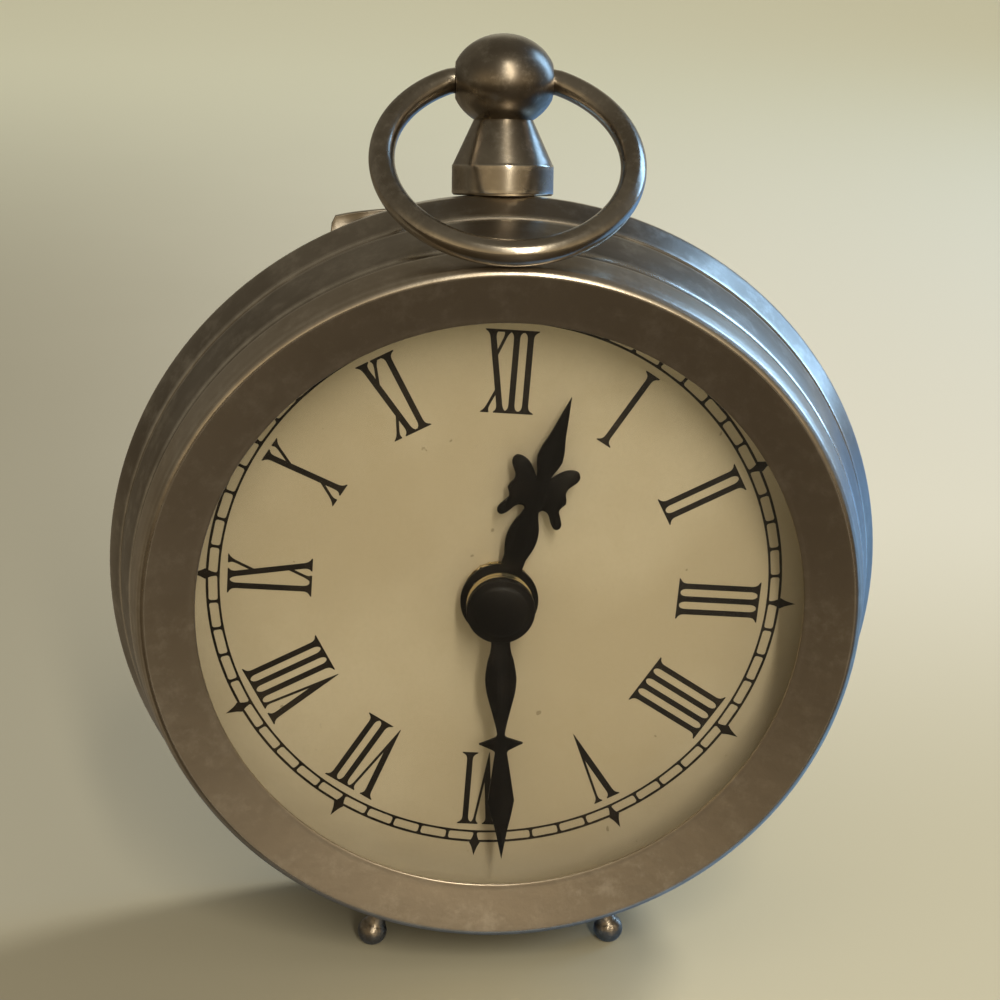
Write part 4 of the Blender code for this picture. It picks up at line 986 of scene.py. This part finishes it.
def cut(name, mesh, *cutters):
    """The mesh less each cutter, by exact Booleans, with the slivers that they leave mended."""
    holders = [bpy.data.objects.new(name, each) for each in (mesh, *cutters)]
    for holder in holders:
        bpy.context.scene.collection.objects.link(holder)
    for cutter in holders[1:]:
        modifier = holders[0].modifiers.new("cut", "BOOLEAN")
        modifier.operation, modifier.solver, modifier.object = "DIFFERENCE", "EXACT", cutter
    done = settled(*holders)
    with opened(done) as shape:
        bmesh.ops.remove_doubles(shape, verts=shape.verts, dist=MERGE_REACH)
        bmesh.ops.dissolve_degenerate(shape, edges=shape.edges, dist=LEAST_EDGE)
        open_edges = [edge for edge in shape.edges if edge.is_boundary]
        bmesh.ops.holes_fill(shape, edges=open_edges, sides=SLIT_SIDES)
        bmesh.ops.triangulate(shape, faces=[face for face in shape.faces if len(face.verts) > 4])
    return done


cutters = []
for side in (-1, 1):
    sideways = Matrix.Translation((0, 0, BALL_CENTRE)) @ Matrix.Rotation(side * math.pi / 2, 4, "Y")
    for radius, end in ((CUTTER_END, BALL_FLAT), (BOW_BORE, BORE_END)):
        outline = [(0, -CUTTER_END), (radius, -CUTTER_END), (radius, -end), (0, -end)]
        cutters.append(turned("cutter", outline, fillet=0.01, closed=False, steps=48))
        cutters[-1].transform(sideways)
finial = cut("finial", turned("finial", FINIAL_PROFILE, closed=False, steps=128), *cutters)
piece("finial_knob", shaded(finial), FINIAL_NICKEL, "case", "aged_nickel", "finial", place=FINIAL)


# Bow: a ring bent from round nickel wire, its two ends sprung into the ball's bores.
# It lies forward on the case; its top faces are rubbed, the rest is tarnished.
BOW_RADIUS, BOW_WIRE, BOW_SHOULDER, BOW_REST = 21.3, 2.2, 8.95, math.radians(55.549)
BOW_SIDES, BOW_STEPS, BOW_GIRTH, BOW_WEAR = 28, 160, 14.0, 0.35
# Wire's right end, from inside the bore to the shoulder.
BOW_PIN = [(5.9, 0), (7.2, 0), (8.3, -0.02)]
pivot = next(joint for joint in frame["joints"] if joint["name"] == "bow_swing")["pos_m"]
BOW = Matrix.Translation(pivot) @ Matrix.Rotation(math.radians(90), 4, "X") @ (
    Matrix.Scale(MM, 4) @ Matrix.Rotation(math.pi - BOW_REST, 4, "X")
)
BOW_NICKEL = nickel(
    "bow nickel", 12.0, dark=(0.26, 0.225, 0.178, 1), middle=(0.44, 0.395, 0.33, 1),
    rubbing=0.45, rough=0.25, lines=1.2, relief=0.02, cloud=60.0, dents=3.0,
)


def swept(name, path, radius, sides):
    """A round wire along a flat path, with closed ends; its wear is highest on its outer side."""
    shape = bmesh.new()
    worn = shape.verts.layers.float.new("wear")
    chart = shape.loops.layers.uv.new("turning")
    rings, run = [], [0.0]
    for i, point in enumerate(path):
        if i:
            run.append(run[-1] + (point - path[i - 1]).length)
        along = (path[min(i + 1, len(path) - 1)] - path[max(i - 1, 0)]).normalized()
        across = Vector((-along.y, along.x))
        ring = []
        for side in range(sides):
            turn = 2 * math.pi * side / sides
            flat = point + across * radius * math.cos(turn)
            ring.append(shape.verts.new((flat.x, flat.y, radius * math.sin(turn))))
            ring[-1][worn] = BOW_WEAR * max(0.0, math.cos(turn)) ** 2
        rings.append(ring)
    for i, (low_ring, high_ring) in enumerate(zip(rings, rings[1:])):
        for side in range(sides):
            after = (side + 1) % sides
            face = shape.faces.new(
                [low_ring[side], low_ring[after], high_ring[after], high_ring[side]]
            )
            spots = ((i, side), (i, side + 1), (i + 1, side + 1), (i + 1, side))
            for loop, (row, around) in zip(face.loops, spots):
                loop[chart].uv = (run[row] / run[-1], around * BOW_GIRTH / sides)
    shape.faces.new(rings[0][::-1])
    shape.faces.new(rings[-1])
    bmesh.ops.recalc_face_normals(shape, faces=shape.faces)
    mesh = bpy.data.meshes.new(name)
    shape.to_mesh(mesh)
    shape.free()
    return mesh


bow_drop = math.sqrt(BOW_RADIUS**2 - BOW_SHOULDER**2)
bow_start = math.asin(BOW_SHOULDER / BOW_RADIUS)
bow_path = [Vector((-across, up)) for across, up in BOW_PIN]
for step in range(1, BOW_STEPS):
    turn = bow_start + (2 * math.pi - 2 * bow_start) * step / BOW_STEPS
    bow_path.append(Vector((-BOW_RADIUS * math.sin(turn), bow_drop - BOW_RADIUS * math.cos(turn))))
bow_path += [Vector(point) for point in reversed(BOW_PIN)]
piece(
    "bow_ring", shaded(swept("bow_ring", bow_path, BOW_WIRE, BOW_SIDES), 50), BOW_NICKEL, "bow",
    "nickel_wire", "bow", place=BOW,
)


# Feet: two small turned balls on flanged studs, screwed through the front band from below. Each
# ball has a small flat face below, on which the clock stands.
FOOT_ANGLE, FOOT_DEPTH, FOOT_CENTRE, FOOT_RADIUS, FOOT_NECK = 18.3, 11.2, 71.9, 2.75, 1.5
FOOT_STEPS = 16
foot_waist = math.asin(FOOT_NECK / FOOT_RADIUS)
foot_turns = [foot_waist + (math.pi - foot_waist) * step / FOOT_STEPS for step in range(FOOT_STEPS)]
# Depths are negative distances from the clock's axis here.
FOOT_PROFILE = [
    (0, -62.3), (1.2, -62.3), (1.2, -65.2), (2.6, -65.2), (2.6, -67.3, 0.2),
    (FOOT_NECK, -67.75, 0.15),
]
FOOT_PROFILE += [
    (FOOT_RADIUS * math.sin(turn), -FOOT_CENTRE + FOOT_RADIUS * math.cos(turn), 0)
    for turn in foot_turns[1:]
]
FOOT_PROFILE += [(0, -FOOT_CENTRE - FOOT_RADIUS)]
FOOT_NICKEL = nickel(
    "foot nickel", 17.0, dark=(0.28, 0.235, 0.18, 1), middle=(0.45, 0.39, 0.31, 1),
    rubbing=0.5, rough=0.3, lines=4.0, relief=0.02, cloud=120.0,
)
for side, name in ((-1, "left"), (1, "right")):
    turn = math.radians(FOOT_ANGLE) * side
    out_way = Vector((math.sin(turn), -math.cos(turn), 0))
    back_way = Vector((0, 0, -1))
    axes = Matrix((back_way.cross(out_way), back_way, out_way)).transposed()
    foot = turned(f"foot_{name}", FOOT_PROFILE, closed=False, steps=48)
    with opened(foot) as shape:
        shape.transform(CLOCK @ Matrix.Translation((0, 0, -FOOT_DEPTH)) @ axes.to_4x4())
        cut_edge = bmesh.ops.bisect_plane(
            shape, geom=shape.verts[:] + shape.edges[:] + shape.faces[:], plane_co=(0, 0, 0),
            plane_no=(0, 0, -1), clear_outer=True,
        )["geom_cut"]
        rim = [part for part in cut_edge if isinstance(part, bmesh.types.BMEdge)]
        bmesh.ops.contextual_create(shape, geom=rim)
    piece(
        f"ball_foot_{name}", shaded(foot), FOOT_NICKEL, "case", "aged_nickel", f"foot_{name}",
        place=Matrix.Identity(4),
    )


# Back cover: a pressed disc whose inner rim grips the drum, with a small lip to pull it off by.
# The lip's points are degrees clockwise from the top and how far it stands out there.
LIP = [
    (-27.0, 0.0), (-25.4, 2.9), (-22.7, 2.2), (-20.0, 1.4), (-17.5, 0.7), (-15.0, 0.1), (-13.0, 0.0)
]
LIP_FOOT = 66.6
COVER_PROFILE = [
    (0, 39.8), (57.0, 39.8, 0.3), (57.6, 39.55, 0.3), (60.4, 39.55, 0.3), (61.0, 39.8, 0.3),
    (66.9, 39.8, 0.25), (67.2, 39.5, 0.2), (67.2, 39.0, 0.15), (67.0, 38.8, 0.1), (66.05, 38.8),
    (66.05, 35.2, 0.2), (64.65, 35.2, 0.2), (64.65, 38.8), (0, 38.8),
]


def lip_reach(radius, turn):
    """What the thumb lip adds to the cover's edge at an angle counted from the clock's right."""
    if radius < LIP_FOOT:
        return 0.0
    clockwise = (90 - math.degrees(turn) + 180) % 360 - 180
    for (a, low_reach), (b, high_reach) in zip(LIP, LIP[1:]):
        if a <= clockwise <= b:
            return low_reach + (high_reach - low_reach) * (clockwise - a) / (b - a)
    return 0.0


COVER_NICKEL = nickel("cover nickel", 21.0, rubbing=0.35, rough=0.38, lines=5.0)
piece(
    "cover_disc",
    shaded(turned("cover_disc", COVER_PROFILE, closed=False, steps=360, reach=lip_reach)),
    COVER_NICKEL, "cover", "aged_nickel", "back_cover",
)


# Fixings inside the case: a steel washer and steel nuts on the studs of finial and feet, and a
# rubber gasket between the dial and the movement.
finish(STEEL, "finial_washer", "finial_nut", "foot_nut_left", "foot_nut_right")


def moulded(name, colour, rough, grain=900.0, strength=0.15):
    """Moulded plastic or rubber: one colour with slight clouds and a fine grain."""
    made, tree, shader = new_material(name)
    place = node(tree, "ShaderNodeTexCoord").outputs["Object"]
    cloud = noise(tree, place, 60.0, 3.0, 1.0)
    fine = noise(tree, place, grain, 2.0, 2.0)
    bump = node(tree, "ShaderNodeBump", {"Strength": strength, "Distance": 0.0001, "Height": fine})
    paler = (*(min(1.0, 1.15 * part + 0.004) for part in colour), 1)
    feed(
        tree, shader, Normal=bump.outputs[0],
        Base_Color=blend_colour(tree, spread(tree, cloud, 0.35, 0.7), (*colour, 1), paler),
        Roughness=spread(tree, fine, 0.3, 0.7, rough - 0.05, rough + 0.05),
    )
    return made


finish(moulded("rubber", (0.03, 0.03, 0.03), 0.75), "gasket")


# Movement: a quartz movement in a black moulded box, with white wheels on steel arbors,
# a stepping motor, and a cell in its bay below the wheels.
BLACK_PLASTIC = moulded("black plastic", (0.022, 0.022, 0.024), 0.42)
WHITE_PLASTIC = moulded("white plastic", (0.72, 0.71, 0.66), 0.4, strength=0.06)
finish(BLACK_PLASTIC, "movement_front", "movement_rear")
finish(
    WHITE_PLASTIC, "intermediate_wheel", "seconds_wheel", "third_wheel", "centre_wheel",
    "setting_wheel", "hour_wheel",
)
finish(
    STEEL, "minute_arbor", "rotor", "stator", "quartz_can", "contact_positive", "contact_negative"
)
finish(plain_metal("copper wire", (0.70, 0.30, 0.14), 0.3, grain=2500.0), "coil")
finish(moulded("circuit board", (0.03, 0.16, 0.06), 0.35), "circuit_board")
finish(moulded("battery sleeve", (0.04, 0.07, 0.20), 0.3, strength=0.03), "battery")


# Setting knob: a moulded white wheel pressed on the arbor behind the movement, with ribs round
# its edge to grip.
KNOB_PROFILE = [
    (1.55, 31.5), (6.3, 31.5, 0.2), (6.3, 34.5, 0.3), (5.0, 34.5, 0.3), (4.4, 34.1, 0.3),
    (2.6, 34.1, 0.2), (2.3, 34.5, 0.2), (1.55, 34.5),
]
RIB_PROFILE = [(0, 31.8), (0.28, 31.8, 0.08), (0.28, 34.2, 0.08), (0, 34.2)]
RIB_CENTRE, RIB_COUNT = 6.22, 36
knob = turned("knob", KNOB_PROFILE, steps=96)
rib = turned("rib", RIB_PROFILE, closed=False, steps=10)
rib.transform(Matrix.Translation((0, RIB_CENTRE, 0)))
ribs = repeated("knob_ribs", rib, RIB_COUNT, WHITE_PLASTIC)
piece("knob_wheel", shaded(knob), WHITE_PLASTIC, "minute", "white_plastic", "set_knob")
piece("knob_grip", shaded(ribs), WHITE_PLASTIC, "minute", "white_plastic")
